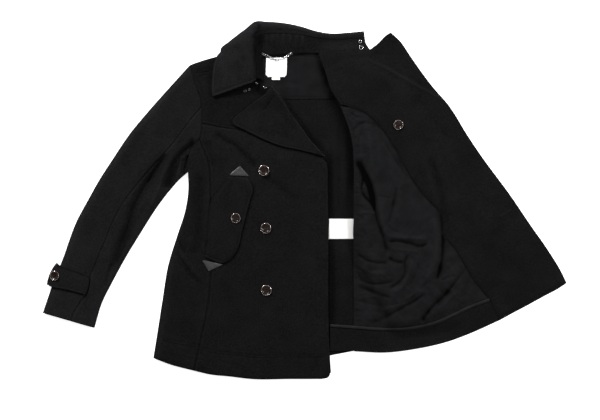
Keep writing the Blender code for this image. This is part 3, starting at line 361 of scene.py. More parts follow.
def wall(name, spots, thickness, material, rim=0.7, painted_shade=None):
    """A wall of cloth on a grid of middle points, with a map in metres along its threads.

    Places that aren't part of the piece hold nan. The last argument is painted light and shade for
    the colour,
    kept as an attribute: plus values, about a fold's or a seam's depth in mm, paint shade, and
    minus values paint highlights."""
    rows, columns = spots.shape[:2]
    there = ~np.isnan(spots[..., 0])
    index = np.full((rows, columns), -1)
    index[there] = np.arange(there.sum())
    faces = np.stack([index[:-1, :-1], index[1:, :-1], index[1:, 1:], index[:-1, 1:]], -1)
    faces = faces.reshape(-1, 4)
    mesh = bpy.data.meshes.new(name)
    mesh.from_pydata((spots[there] * MM).tolist(), [], faces[faces.min(axis=1) >= 0].tolist())
    threads = np.zeros((rows, columns, 2))
    across = np.nan_to_num(np.linalg.norm(np.diff(spots, axis=1), axis=2))
    down = np.nan_to_num(np.linalg.norm(np.diff(spots, axis=0), axis=2))
    threads[:, 1:, 0] = np.cumsum(across, axis=1)
    threads[1:, :, 1] = -np.cumsum(down, axis=0)
    corner = np.zeros(len(mesh.loops), np.int32)
    mesh.loops.foreach_get("vertex_index", corner)
    mesh.uv_layers.new(name="threads").data.foreach_set(
        "uv", (threads[there][corner] * MM).ravel())
    if painted_shade is not None:
        deep = mesh.attributes.new("painted_shade", "FLOAT", "POINT")
        deep.data.foreach_set("value", np.broadcast_to(painted_shade, there.shape)[there].ravel())
    piece = set_out(name, mesh, material)
    thick = piece.modifiers.new("cloth", "SOLIDIFY")
    thick.thickness = thickness * MM
    thick.offset = 0
    if rim:
        soften(piece, rim, RAW_EDGE)
    bpy.ops.object.select_all(action="DESELECT")
    bpy.context.view_layer.objects.active = piece
    piece.select_set(True)
    for modifier in list(piece.modifiers):
        bpy.ops.object.modifier_apply(modifier=modifier.name)
    piece.select_set(False)
    return piece


def dress(piece, nodes):
    """The piece rides on the coat and stands for its solids, which are hidden."""
    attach(piece, "root")
    if nodes:
        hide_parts(*nodes)
    return piece


SIDE_FRONT = sheet_between(chain(ARMHOLE_SIDE)[::-1], chain(SIDE_HEM), chain(SIDE_EDGE),
                           chain(PRINCESS_SEAM))
neck_and_roll = moved(chain(NECK_SIDE, [*ROLL_LINE[:4], YOKE_SEAM[-1]]), YOKE_OVER_NECK)
YOKE = sheet_between(chain(SHOULDER), chain(YOKE_SEAM), chain(ARMHOLE_TOP), neck_and_roll)

under_side = np.array([SIDE_FRONT((FOLD_REACH + SIDE_GAP) / distance_across(SIDE_FRONT, v), v)
                       for v in steps(0.14, 1, 14)])
under_shoulder = np.array([YOKE(u, (FOLD_REACH + SHOULDER_GAP) / distance_down(YOKE, u))
                           for u in steps(0.02, 1, 8)])
back_armhole = moved(chain(ARMHOLE_TOP, ARMHOLE_FRONT, ARMHOLE_SLEEVE), -ARMHOLE_GAP)
back_armhole = back_armhole[(back_armhole[:, 1] < under_shoulder[0][1] - 1)
                            & (back_armhole[:, 1] > 136)]
BACK = sheet_between(
    np.vstack([under_shoulder, [(-112, 329), (-106, 345)], moved(smooth(NECK_SEAM), -4),
               smooth(LEFT_SHOULDER)]),
    np.vstack([[under_side[-1]], smooth([(-266, -404), (-179, -412), (-60, -404), (20, -380)]),
               [(118.2, -361)]]),
    np.vstack([[under_shoulder[0]], back_armhole, under_side]),
    np.array([LEFT_SHOULDER[-1], (119, 133), (121, 85), (121, -270), (118.2, -310), (118.2, -361)],
             float))

# Each part of the coat has its own copy of the one melton, set paler or darker for how light falls
# on that part: painted light and shade. The back's copy is the darkest.
melton_back = melton("melton_back", 0.0042)
x, y, *_ = lattice(BACK, 4.4)
left, right, foot, top = BACK_SHOWS
seen = (ease((x - left) / 6) * ease((right - x) / 6) * ease((y - foot) / 30)
        * ease((top - y) / 30))
creased = folds(x, y, BACK_FOLDS) - 0.5 * swell(x, y, 45, 3.1)
z = FLOOR_PLY + seen * (0.8 - creased)
# Painted light and shade: the back's folds painted darker, painted shadows at the foot of the
# raised edges, and darker towards the hem.
back = wall("back_cloth", np.dstack([x, y, z]), WOOL, melton_back,
            painted_shade=2 * creased + folds(x, y, EDGE_SHADOWS) + 0.8 * ease((-120 - y) / 60))
dress(back, ["back"])

# -------------------------------------------------------------------------- back neck lining
# A short lining of twilled satin inside the back neck, turned under all round and stitched
# twice along its lower edge. It lies flat on the inside of the back.
SATIN = 1.0
TWILL_TURN = np.radians(52)


def groove(distance, at, deep=0.8, wide=1.6):
    """The dent that a row of stitches pulls into thick cloth."""
    return deep * np.exp(-((distance - at) / wide) ** 2)


def band_at(distance, at=3.0, wide=1.9):
    """A soft band from 0 to 1 at a distance from an edge or a seam: the swell of an edge, or where
    painted highlights and painted shade lie along it.
    """
    return np.exp(-((distance - at) / wide) ** 2)


def satin_twill(name, tone, blue=1.12, rough=0.6):
    """Woven lining: a fine diagonal twill with a soft sheen, with painted shade in its creases and
    painted highlights on its ridges.
    """
    material, nodes, links = finish(name, {
        "Roughness": rough, "Specular IOR Level": 0.012, "Sheen Weight": 0.01})
    turn = nodes.new("ShaderNodeMapping")
    turn.inputs["Rotation"].default_value = (0, 0, TWILL_TURN)
    links.new(on_threads(nodes), turn.inputs["Vector"])
    twill = pattern(nodes, links, "Wave", turn.outputs["Vector"], Scale=320, Distortion=0.6,
                    Detail=1)
    cloud = pattern(nodes, links, "Noise", on_piece(nodes), Scale=45, Detail=4)
    # Painted light and shade: the piece's attribute darkens the twill's colour in creases and
    # lightens it on ridges.
    both, light_and_shade = nodes.new("ShaderNodeMath"), nodes.new("ShaderNodeMath")
    both.operation = light_and_shade.operation = "MULTIPLY_ADD"
    both.inputs[1].default_value, light_and_shade.inputs[1].default_value = 0.3, -0.12
    links.new(twill.outputs["Fac"], both.inputs[0])
    links.new(cloud.outputs["Fac"], both.inputs[2])
    links.new(painted_shade_of(nodes), light_and_shade.inputs[0])
    links.new(both.outputs[0], light_and_shade.inputs[2])
    dye(nodes, links, light_and_shade.outputs[0],
        *[(place, (tone * share, tone * share * 1.015, tone * share * 1.015 * blue))
          for place, share in ((0, 0.1), (0.35, 1.2), (1, 2.3))])
    emboss(nodes, links, twill.outputs["Fac"], 0.35, 0.0003)
    return material


neck_satin = satin_twill("neck_satin", 0.0038, 1.08)
NECK_LINING = sheet_between(smooth([(-101, 341), (-59, 344), (0, 345), (40, 341)]),
                            smooth([(-112, 244), (0, 243), (104, 244)]),
                            smooth([(-101, 341), (-106, 300), (-112, 244)]),
                            smooth([(40, 341), (66, 290), (104, 244)]))
x, y, _, _, (*_, low) = lattice(NECK_LINING, 3, bottom=(0.2, 1, 2, 3.4, 4.8, 6, 7.2, 8.6))
loose = 0.4 * ease(low / 14) * (1.2 + swell(x, y, 26, 5.0) + 0.7 * swell(x, 3 * y, 40, 8.0))
seams = groove(low, 2, 0.15, 0.8) + groove(low, 6, 0.2, 0.8)
z = WOOL + SEAM + SATIN / 2 + loose - seams
# Painted light and shade: darker where the lining lies low and in its stitched dents, a paler band
# between the rows, and painted shadows at the foot of the raised edges.
light_and_shade = 2 * (0.5 - loose) + 6 * seams - 1.5 * band_at(low, 4, 1) + folds(x, y, EDGE_SHADOWS)
neck_lining = wall("back_neck_lining", np.dstack([x, y, z]), SATIN, neck_satin, 0.25, light_and_shade)
dress(neck_lining, ["back_yoke_lining"])

# ------------------------------------------------------------------------------ right front
# The closed right front: a side panel folded round the side edge, a main panel with the
# curved princess seam between them, and a yoke folded over the shoulder. The seams are turned
# to one side, pressed and double stitched, so the thick wool rolls down into them.
FRONT_HEM = [(-266, -408), (-227, -417), (-179, -422), (-127, -428), (-35, -428), (40, -428)]
HEM_CORNER = [(40, -428), (56, -424), (62, -412)]
FRONT_EDGE = [(49, 104), (53, 88), (55, 25), (56, -95), (57, -311), (62, -412)]
WRAP_ROOM = 6.8
FRONT_REST = 190
BODY_HEIGHT = [(-430, 10), (-300, 12), (-100, 14), (50, 16), (150, 18), (250, 19), (330, 19)]
FACING_HEIGHT = [(60, FLOOR_PLY + PLY), (200, FLOOR_PLY + PLY + 1.7)]
FRONT_FOLDS = [
    # line of the fold, width, depth
    ([(-256, 70), (-252, 30), (-252, -10),
      (-254, -60), (-258, -100), (-266, -145)], 11, 4.4),
    ([(-230, 37), (-232, -11), (-233, -59), (-236, -107)], 5, -1.2),
    ([(-289, -32), (-303, -70), (-299, -105), (-286, -130)], 5, 3.4),
    ([(-312, -120), (-285, -160), (-249, -205)], 4, 2.0),
    ([(-306, -146), (-286, -168), (-262, -195)], 3.5, 1.7),
    ([(-304, -124), (-275, -157), (-247, -191)], 5, -1.4),
    ([(-218, 163), (-200, 148), (-168, 130), (-135, 98), (-112, 76)], 8, 4.2),
    ([(-103, 62), (-73, 38), (-40, 14), (-11, -6)], 11, 2.6),
    ([(-236, 144), (-226, 112), (-220, 76)], 7, 2.0),
    ([(-263, 30), (-266, -35), (-275, -95)], 7, 1.4),
    ([(-290, 49), (-287, 1), (-295, -28)], 5, 1.5),
]
FRONT_CREASES = [
    ([(-200, 20), (-192, -60), (-186, -150)], 10, 0.9),
    ([(-120, 20), (-112, -50), (-118, -120)], 16, 0.8),
    ([(-20, -30), (-30, -110), (-22, -190)], 14, 0.7),
    ([(-80, -120), (-100, -190), (-90, -260)], 16, 0.8),
    ([(-205, -190), (-180, -240), (-150, -300)], 14, 1.0),
    ([(-300, -230), (-290, -290), (-296, -350)], 12, 0.9),
    ([(-262, -240), (-270, -300), (-285, -370)], 9, 0.9),
    ([(-60, -300), (-40, -340), (-44, -400)], 14, 0.7),
    ([(-140, -330), (-132, -370), (-140, -412)], 12, 0.6),
    ([(-240, 240), (-200, 226), (-176, 224)], 10, 0.8),
]
SHOULDER_RIDGES = [
    ([(-263, 311.5), (-247, 314.5), (-231, 317.3)], 2.0, 1.3),
    ([(-261, 303.6), (-245, 305.8), (-227, 307.7)], 2.0, 1.3),
    ([(-254, 296.9), (-242, 299.8), (-230, 302.4)], 2.0, 1.1),
]
# Painted shadows: on the front below the pocket flap's free edges, and on the yoke and the lapel
# below the collar leaf's lower edge: line, width, depth.
FLAP_SHADOW = [
    ([(-137, 57), (-122, 27), (-129, 1), (-145, -60), (-161, -120), (-171, -136),
      (-196, -152), (-236, -140)], 4, 4),
]
LEAF_SHADOW = [
    ([(-226, 244), (-172, 263), (-126, 279), (-108, 277)], 7, 5),
    ([(-116, 270), (-104, 263), (-98, 253)], 8, 6),
]
FRONT_BORDER = chain(NECK_SIDE, ROLL_LINE, FRONT_EDGE)[::-1]
HALF_TURN = np.radians(steps(-90, 90, 20))


def between(points, at):
    """A height or width that runs smoothly through a short table."""
    curve = smooth(points)
    return np.interp(at, curve[:, 0], curve[:, 1])


def facing_height(y):
    """Middle of the ply that lies on the back along the front edge."""
    return np.interp(y, *zip(*FACING_HEIGHT))


def front_creases(x, y):
    """How deep the closed front is creased, less towards its pressed edge."""
    inward = np.interp(y, FRONT_BORDER[:, 1], FRONT_BORDER[:, 0]) - x
    loose = 0.25 + 0.75 * ease(inward / 70)
    uneven = 0.55 * swell(x, y, 70, 1.3) + 0.25 * swell(x, y, 24, 7.7)
    return folds(x, y, FRONT_FOLDS) + loose * (folds(x, y, FRONT_CREASES) - uneven)


def front_form(x, y):
    """Middle of the closed front: low at its edge and roll line, full over the chest."""
    inward = np.interp(y, FRONT_BORDER[:, 1], FRONT_BORDER[:, 0]) - x
    low = facing_height(y) + PLY + 0.2
    height = low + (between(BODY_HEIGHT, y) - low) * ease(inward / FRONT_REST)
    return height - front_creases(x, y)


def folded(depth, reach, spacing=3):
    """Round a folded edge, from its under end to its top: (distance in, share of the height)."""
    flat = np.arange(reach, depth + 1, -spacing)
    return (np.concatenate([flat, depth * (1 - np.cos(HALF_TURN))]),
            np.concatenate([0 * flat, 0.5 + 0.5 * np.sin(HALF_TURN)]))


def rolled_in(distance, deep=1.9, wide=2.6):
    """How far thick cloth sinks towards a seam."""
    return deep * np.exp(-(distance / wide) ** 2)


# The closed front's copy of the melton, a middle tone, set for how light falls on it.
melton_front = melton("melton_front", 0.0048)
# Painted light and shade on the wool: how much darker folds and seams are painted, and how much
# paler edges and the hem's lower edge are painted as highlights.
FOLD_SHADE = 0.55
SEAM_SHADE = 1.4
EDGE_HIGHLIGHT, HEM_HIGHLIGHT = 1.2, 3.5
EDGE_STITCH = 6
SEAM_STITCHES = (2, 8)
SEAM_MARKS = (0.2, 1, 2, 3.2, 5, 6.8, 8, 9.2, 11)
EDGE_MARKS = (0.2, 1.5, 3, 4.6, 6, 7.4, 9)
YOKE_LONG = 270
HEM_STITCH, HEM_SECOND = 52, 57.5
HEM_MARKS = (0.2, 1.6, 3.4, 5.6, *np.arange(8.5, 50, 3), 50.6, 52, 53.4, 54.8, 56.2, 57.6, 59)


def hem_sunk(distance):
    """How far the front sinks at its two hem seams, and rolls in at its lower edge."""
    return (groove(distance, HEM_STITCH, 0.7) + groove(distance, HEM_SECOND, 0.6)
            + rolled_in(distance, 2.2, 5))


# Side panel.
around, share = folded(FOLD_DEPTH, FOLD_REACH)
part = steps(0, 1, 40)
wide = np.array([distance_across(SIDE_FRONT, v) for v in part])
tall = distance_down(SIDE_FRONT, 0.5)
v = ticks(tall, tall, 3, (0.8, 2, 3.5, 5), HEM_MARKS)
across = np.interp(v, part, wide)[:, None]
top_part = FOLD_DEPTH + ticks(across[:, 0] - FOLD_DEPTH, wide.max() - FOLD_DEPTH, 3,
                              (0.0,), SEAM_MARKS)[:, 1:] * (across - FOLD_DEPTH)
inward = np.hstack([np.tile(around, (len(v), 1)), top_part])
share = np.concatenate([share, np.ones(top_part.shape[1])])
v = np.tile(v[:, None], inward.shape[1])
x, y = flat_places(SIDE_FRONT, inward / across, v)
seam_side = across - inward
above_hem = (1 - v) * tall
sunk = rolled_in(seam_side) + rolled_in(v * tall) + hem_sunk(above_hem)
z = FLOOR_PLY + (front_form(x, y) - sunk - FLOOR_PLY) * share
# Painted light and shade: shade in the creases and at the seams, painted highlights beside the
# seam, on the rounded side edge and along the hem's lower edge.
light_and_shade = (FOLD_SHADE * front_creases(x, y) + SEAM_SHADE * sunk - EDGE_HIGHLIGHT * band_at(seam_side, 5)
        - 3 * band_at(inward, FOLD_DEPTH / 3, 8) - HEM_HIGHLIGHT * band_at(above_hem, 0, 6))
side_front = wall("side_front_cloth", np.dstack([x, y, z]), WOOL, melton_front, painted_shade=light_and_shade)
dress(side_front, ["right_side_front"])

# Main panel.
front_line = chain([YOKE_SEAM[-1], *ROLL_LINE[4:]], FRONT_EDGE)
front_line[:, 0] -= WRAP_ROOM * ease((front_line[:, 1] - 88) / 12)
FRONT = sheet_between(chain(YOKE_SEAM), chain(FRONT_HEM, HEM_CORNER),
                      chain(ARMHOLE_FRONT, PRINCESS_SEAM), front_line)
x, y, _, _, (left, right, top, low) = lattice(FRONT, 3, SEAM_MARKS, EDGE_MARKS,
                                              (0.2, 1, 2, 3.5, 5), HEM_MARKS)
sunk = (rolled_in(left) + groove(left, SEAM_STITCHES[1], 0.45)
        + groove(right, EDGE_STITCH, 0.35) + rolled_in(top)
        + hem_sunk(low) + rolled_in(right, 1.0, 2))
z = front_form(x, y) - sunk
# Painted light and shade: shade in the creases and seams and below the pocket flap, painted
# highlights beside the seams, along the edges and along the hem's lower edge.
light_and_shade = (FOLD_SHADE * front_creases(x, y) + SEAM_SHADE * sunk - EDGE_HIGHLIGHT * band_at(left, 5)
        - EDGE_HIGHLIGHT * band_at(top, 5) - EDGE_HIGHLIGHT * band_at(right)
        - HEM_HIGHLIGHT * band_at(low, 0, 6) + folds(x, y, FLAP_SHADOW))
front = wall("right_front_cloth", np.dstack([x, y, z]), WOOL, melton_front, painted_shade=light_and_shade)
dress(front, ["right_front"])

# Yoke.
around, share = folded(FOLD_DEPTH, FOLD_REACH)
u = ticks(YOKE_LONG, YOKE_LONG, 2.4, (0.8, 1.8, 3, 4.5, 6), (0.2, 1.5, 3))
deep = np.array([distance_down(YOKE, one) for one in u])
beyond = deep - FOLD_DEPTH
top_part = FOLD_DEPTH + ticks(beyond, beyond.max(), 2.4, (0.0,),
                              SEAM_MARKS[:-1])[:, 1:] * beyond[:, None]
inward = np.hstack([np.tile(around, (len(u), 1)), top_part]).T
share = np.concatenate([share, np.ones(top_part.shape[1])])[:, None]
x, y = flat_places(YOKE, np.tile(u, (len(inward), 1)), inward / deep)
low = deep - inward
sunk = (rolled_in(low) + groove(low, SEAM_STITCHES[1], 0.45) + rolled_in(u * YOKE_LONG)
        + folds(x, y, SHOULDER_RIDGES))
z = FLOOR_PLY + (front_form(x, y) - sunk - FLOOR_PLY) * share
# Painted light and shade: shade in the creases, seams and shoulder ridges and below the collar
# leaf, painted highlights beside its seam and edge, and the whole yoke painted a little darker.
light_and_shade = (FOLD_SHADE * front_creases(x, y) + SEAM_SHADE * sunk - 1.6 * band_at(low, 5)
        - 1.4 * band_at(u * YOKE_LONG, 5) + folds(x, y, LEAF_SHADOW) + 1.8)
yoke = wall("right_yoke_cloth", np.dstack([x, y, z]), WOOL, melton_front, painted_shade=light_and_shade)
dress(yoke, ["right_front_yoke"])

# ------------------------------------------------------------------- facing and turned lapel
# The facing is a second layer of melton inside the front edge. Above the top button it rolls
# over with the front and becomes the top of the lapel, which lies out on the chest.
LAPEL_SIDE = [(49, 104), (29, 112), (-11, 121), (-59, 131), (-107, 150), (-131, 162),
              (-158, 175)]
LAPEL_TIP = [(-158, 175), (-169, 181), (-172, 188), (-165, 200)]
LAPEL_TOP = [(-165, 200), (-143, 217), (-119, 238), (-100, 251), (-89, 262), (-79, 275)]
LAPEL = sheet_between(chain(LAPEL_TOP), chain([(29, 112), (49, 104)]),
                      chain(LAPEL_TIP[::-1], LAPEL_SIDE[:0:-1]), chain(ROLL_LINE))
ROLL_DEPTH = 6.0
FACING_WIDTH = 60
LAPEL_SPRING = 1.0
EDGE_DENT = 6.5
EDGE_INSET = 0.6
EDGE_ROWS = 170
LAPEL_FOLDS = [
    ([(-72, 253), (-81, 239), (-90, 226), (-99, 214)], 4, 2.0),
    ([(-84, 254), (-82, 268)], 3, -1.0),
    ([(-141, 196), (-91, 205), (-40, 191)], 14, -0.8),
    ([(-119, 169), (-69, 157), (-21, 140)], 9, 1.0),
    ([(-59, 236), (-50, 205), (-21, 164)], 8, 1.0),
    ([(-103, 212), (-71, 188), (-35, 150)], 9, 0.9),
]


def lapel_form(x, y, u):
    """Middle of the lapel's top layer, a little sprung near the roll line (u = 1)."""
    return (front_form(x, y) + 2 * PLY + LAPEL_SPRING * (0.5 + 0.5 * u)
            - ease(u * 6) * folds(x, y, LAPEL_FOLDS))


x, y, u, v, (left, right, top, low) = lattice(
    LAPEL, 2.6, EDGE_MARKS, (ROLL_DEPTH, ROLL_DEPTH + 1.5), EDGE_MARKS, (0.2, 1.5))
edge_in = np.minimum(left, top)
sunk = groove(edge_in, EDGE_DENT, 0.5) - 0.3 * band_at(edge_in) + rolled_in(edge_in, 1.2, 1.7)
z = lapel_form(x, y, u) - sunk
lapel_top = np.dstack([x, y, z])[:, ::-1]
# Painted light and shade: shade at the edge dent and in the folds, a painted highlight along the
# edge, darker towards the top, and the leaf's painted shadow.
lapel_light_and_shade = (SEAM_SHADE * sunk + 0.9 * ease(u * 6) * folds(x, y, LAPEL_FOLDS)
              - 2.2 * band_at(edge_in) + 2 * ease((y - 190) / 50)
              + folds(x, y, LEAF_SHADOW))[:, ::-1]
roll = LAPEL(1, v[:, -1])
toward = lapel_top[:, 0, :2] - roll
toward /= np.linalg.norm(toward, axis=1)[:, None]
middle = roll + toward * ROLL_DEPTH
low_z = facing_height(roll[:, 1])
high_z = lapel_top[:, 0, 2]
turn = []
for angle in np.radians(steps(-90, 90, 12))[1:-1]:
    out = (ROLL_DEPTH - WOOL / 2) * np.cos(angle)
    turn.append(np.column_stack([middle - toward * out, (low_z + high_z) / 2
                                 + (high_z - low_z) / 2 * np.sin(angle)]))
turn = np.stack(turn, axis=1)
inside = steps(1, 0, 16)[:, None] * (ROLL_DEPTH - FACING_WIDTH, 0)
strip = [np.column_stack([end + inside, np.full(len(inside), height)])
         for end, height in zip(middle, low_z)]
upper = np.concatenate([np.array(strip), turn, lapel_top], axis=1)
edge = chain(FRONT_EDGE)
lower = np.full((EDGE_ROWS + 1, upper.shape[1], 3), np.nan)
for row, s in zip(lower, steps(0, 1, EDGE_ROWS + 1)[1:]):
    x, y = along(edge, s)
    end = x - EDGE_INSET - (ROLL_DEPTH - EDGE_INSET) * (1 - ease(s / 0.03))
    row[:len(inside), 0] = np.linspace(x - FACING_WIDTH, end, len(inside))
    row[:len(inside), 1:] = y, facing_height(y)
light_and_shade = np.zeros((len(upper) + len(lower), upper.shape[1]))
light_and_shade[:len(upper), -lapel_light_and_shade.shape[1]:] = lapel_light_and_shade
facing = wall("right_facing_cloth", np.concatenate([upper, lower]), WOOL, melton_front,
              painted_shade=light_and_shade)
dress(facing, ["right_facing"])

x, y, u, *_ = lattice(LAPEL, 4, (0.6, 2), (WRAP_ROOM,), (2.2, 4), (6,))
z = front_form(x, y) + PLY + LAPEL_SPRING * 0.35 - 0.5 * ease(u * 6) * folds(x, y, LAPEL_FOLDS)
lapel_under = wall("lapel_under_cloth", np.dstack([x, y, z]), WOOL, melton_front)
dress(lapel_under, ["right_lapel_under"])

# ----------------------------------------------------------------------------- right sleeve
# Two-piece sleeve with a curved front seam. It lies pressed with soft rounded edges, one long
# fold down its front and a deep one under the arm, and its cuff is open.
SLEEVE_OUTER = [(-275, 323), (-323, 270), (-371, 216), (-419, 158), (-460, 97), (-491, 49),
                (-518, 1), (-544, -47), (-580, -143), (-602, -198), (-627, -270)]
SLEEVE_INNER = [(-279.2, 70), (-299, 53), (-322, 27), (-350, -9), (-392, -74), (-435.5, -146),
                (-463, -197), (-486, -243), (-505, -305)]
SLEEVE_SEAM = [(0.0, 0.39), (0.06, 0.41), (0.12, 0.44), (0.18, 0.46), (0.3, 0.45), (0.5, 0.425),
               (0.57, 0.45), (0.64, 0.505), (0.72, 0.535), (0.78, 0.545), (0.83, 0.61),
               (0.86, 0.635), (0.91, 0.59), (0.97, 0.54), (1.0, 0.545)]
SLEEVE_HEIGHT = [(0.0, 18), (0.2, 20), (0.5, 18), (0.8, 15), (1.0, 14)]
SLEEVE_TURN = [(0.0, 22), (0.3, 20), (1.0, 16)]
UNDER_SEAM = 0.2
SLEEVE_FOLDS = [
    # line of the fold, width, depth
    ([(-326, 121), (-364, 64), (-389, 23), (-412, -23),
      (-425, -68), (-439, -107), (-452, -148), (-465, -181)], 12, 6.5),
    ([(-364, 64), (-389, 23), (-412, -23), (-425, -68), (-439, -107)], 4, 2.0),
    ([(-330, 112), (-345, 92), (-362, 66), (-380, 38)], 5, 4.0),
    ([(-256, 145), (-290, 119), (-311, 95), (-321, 64), (-333, 20)], 9, 7.5),
    ([(-278, 110), (-284, 88), (-292, 58)], 7, 6.5),
    ([(-290, 105), (-304, 80), (-316, 48), (-325, 22)], 7, 5.0),
    ([(-293, 106), (-298, 84), (-304, 58)], 3, -3.0),
    ([(-268, 150), (-309, 109), (-332, 76), (-348, 30), (-374, -28)], 5.5, -2.8),
    ([(-460, -150), (-470, -176), (-479, -212)], 4, 3.0),
]
SLEEVE_CREASES = [
    ([(-300, 270), (-330, 210), (-352, 140)], 16, 1.4),
    ([(-392, 168), (-420, 110), (-452, 52)], 14, 1.2),
    ([(-365, 150), (-390, 90), (-425, 30)], 10, -1.0),
    ([(-470, 20), (-500, -50), (-530, -120)], 14, 1.1),
    ([(-480, -110), (-505, -160), (-540, -190)], 10, 1.2),
    ([(-420, -30), (-455, -90), (-480, -150)], 9, -1.2),
    ([(-560, -180), (-570, -220), (-585, -262)], 10, 0.8),
    ([(-310, 170), (-290, 200), (-272, 240)], 10, 0.9),
    ([(-372, 0), (-405, -55), (-430, -105)], 7, 1.6),
    ([(-500, -200), (-520, -240), (-530, -280)], 9, 0.9),
]
SLEEVE = sheet_between(chain(ARMHOLE_TOP, ARMHOLE_FRONT, ARMHOLE_SLEEVE),
                       chain([SLEEVE_OUTER[-1], SLEEVE_INNER[-1]]),
                       chain(SLEEVE_OUTER), chain(SLEEVE_INNER))
sleeve_part = steps(0, 1, 40)
sleeve_wide = np.array([distance_across(SLEEVE, v) for v in sleeve_part])
sleeve_tall = distance_down(SLEEVE, 0.5)


def sleeve_creases(x, y, v):
    """How deep the sleeve is creased. The soft creases fade out at the armhole."""
    uneven = 0.6 * swell(x, y, 60, 9.2) + 0.3 * swell(x, y, 22, 4.4)
    return folds(x, y, SLEEVE_FOLDS) + ease(v / 0.08) * (folds(x, y, SLEEVE_CREASES) - uneven)


def sleeve_form(x, y, v):
    """Middle of the sleeve's upper wall, level with the body at the armhole."""
    own = between(SLEEVE_HEIGHT, v)
    return (own + (between(BODY_HEIGHT, y) - own) * ease(1 - v / 0.12)
            - sleeve_creases(x, y, v))


def sleeve_wall(name, from_edge, material):
    """From the seam underneath, round one edge of the sleeve, to the front seam on top."""
    toward = 1 - 2 * from_edge
    v = ticks(sleeve_tall, sleeve_tall, 3, (0.2, 1.2, 2.6, 4.5, 6), (0.2, 1.5, 3, 5))
    across = np.interp(v, sleeve_part, sleeve_wide)[:, None]
    turn = between(SLEEVE_TURN, v)[:, None]
    seam = abs(between(SLEEVE_SEAM, v)[:, None] - from_edge) * across - SEAM / 2
    under = abs(UNDER_SEAM - from_edge) * across - SEAM / 2
    beneath = under + (turn - under) * steps(0, 1, 5 if from_edge == 0 else 34)[:-1]
    top_part = turn + ticks((seam - turn)[:, 0], (seam - turn).max(), 3, (0.0,),
                            (0.2, 1, 2, 3.4, 5))[:, 1:] * (seam - turn)
    inward = np.hstack([beneath, turn * (1 - np.cos(HALF_TURN)), top_part])
    share = np.concatenate([np.zeros(beneath.shape[1]), 0.5 + 0.5 * np.sin(HALF_TURN),
                            np.ones(top_part.shape[1])])
    v = np.tile(v[:, None], inward.shape[1])
    x, y = flat_places(SLEEVE, from_edge + toward * inward / across, v)
    sunk = (rolled_in(seam - inward, 1.7, 2.2) + rolled_in(v * sleeve_tall, 1.3, 2.6)
            + rolled_in((1 - v) * sleeve_tall, 1.2, 3))
    z = FLOOR_PLY + (sleeve_form(x, y, v) - sunk - FLOOR_PLY) * share
    # Painted light and shade: shade in the folds and seams, painted highlights beside the front
    # seam, on the rounded edges and at the cuff, and paler towards the cuff.
    light_and_shade = (FOLD_SHADE * sleeve_creases(x, y, v) + SEAM_SHADE * sunk
            - 1.6 * band_at(seam - inward, 4.5) - 2.2 * band_at(inward, 6, 7)
            - 3 * band_at((1 - v) * sleeve_tall, 0, 5) - 1.3 * ease((v - 0.55) / 0.25))
    return wall(name, np.dstack([x, y, z]), WOOL, material, painted_shade=light_and_shade)


# The sleeves' copy of the melton is paler: painted light.
melton_sleeve = melton("melton_sleeve", 0.0060)
upper_sleeve = sleeve_wall("right_upper_sleeve_cloth", 0, melton_sleeve)
dress(upper_sleeve, ["right_upper_sleeve"])
under_sleeve = sleeve_wall("right_under_sleeve_cloth", 1, melton_sleeve)
dress(under_sleeve, ["right_under_sleeve"])

# Cuff strap: two layers turned and edge stitched, sewn into the front seam, and buttoned on
# the outer edge of the sleeve.
STRAP_WOOL = 3.4
STRAP_WIDTH = 46
TAB_TOP, TAB_FOOT = 0.825, 0.905
TAB_STAND_OUT = 9
TAB_AIR = 0.5
TAB_SLANT = 0.057


def strap_line(share, fine=10):
    """The strap's line round the outer edge of the sleeve, standing out round its button."""
    v = TAB_TOP + (TAB_FOOT - TAB_TOP) * share
    share = np.clip(share, 0, 0.999)
    stand_out = TAB_STAND_OUT + 5 * np.sin(np.pi * share) ** 0.6 + 2.5 * share
    across = np.interp(v, sleeve_part, sleeve_wide)
    edge = SLEEVE(0, v)
    inwards = SLEEVE(0.1, v) - edge
    inwards /= np.linalg.norm(inwards)
    turn, high = between(SLEEVE_TURN, v), between(SLEEVE_HEIGHT, v)
    middle = (high + FLOOR_PLY) / 2
    lift = (WOOL + STRAP_WOOL) / 2 + SEAM + TAB_AIR
    ring = []
    for angle in np.radians(np.linspace(-20, 90, 2 * fine + 1)):
        inward = turn - (turn + stand_out) * np.cos(angle)
        aside = SLEEVE(0, v - TAB_SLANT * max(inward, 0) / across) + inwards * inward
        ring.append((*aside, middle + (high - middle + lift) * np.sin(angle)))
    seam = between(SLEEVE_SEAM, v - TAB_SLANT / 2) - 1.5 / across
    for u in steps(turn / across, seam, 2 * fine)[1:]:
        x, y = SLEEVE(u, v - TAB_SLANT * u)
        high = float(sleeve_form(np.array(x), np.array(y), v - TAB_SLANT * u))
        ring.append((x, y, high + lift))
    return np.array(ring)


rows = np.concatenate([[0.2, 1.6, 3, 4.4, 6], steps(9, 37, 10), [40, 41.6, 43, 44.4, 45.8]])
spots = np.array([strap_line(row / STRAP_WIDTH) for row in rows])
sunk = groove(rows, 4.5, 0.45) + groove(rows, 41.5, 0.45)
spots[..., 2] -= sunk[:, None]
# Painted light and shade: shade in the stitched dents, a dark painted shadow along the strap's top
# edge, and a painted highlight along its lower edge.
light_and_shade = SEAM_SHADE * sunk - 1.2 * band_at(STRAP_WIDTH - rows, 2.5) + 4 * band_at(rows, 0, 3)
tab = wall("cuff_strap_cloth", spots, STRAP_WOOL, melton_sleeve, 1.1, light_and_shade[:, None])
dress(tab, ["right_sleeve_tab"])

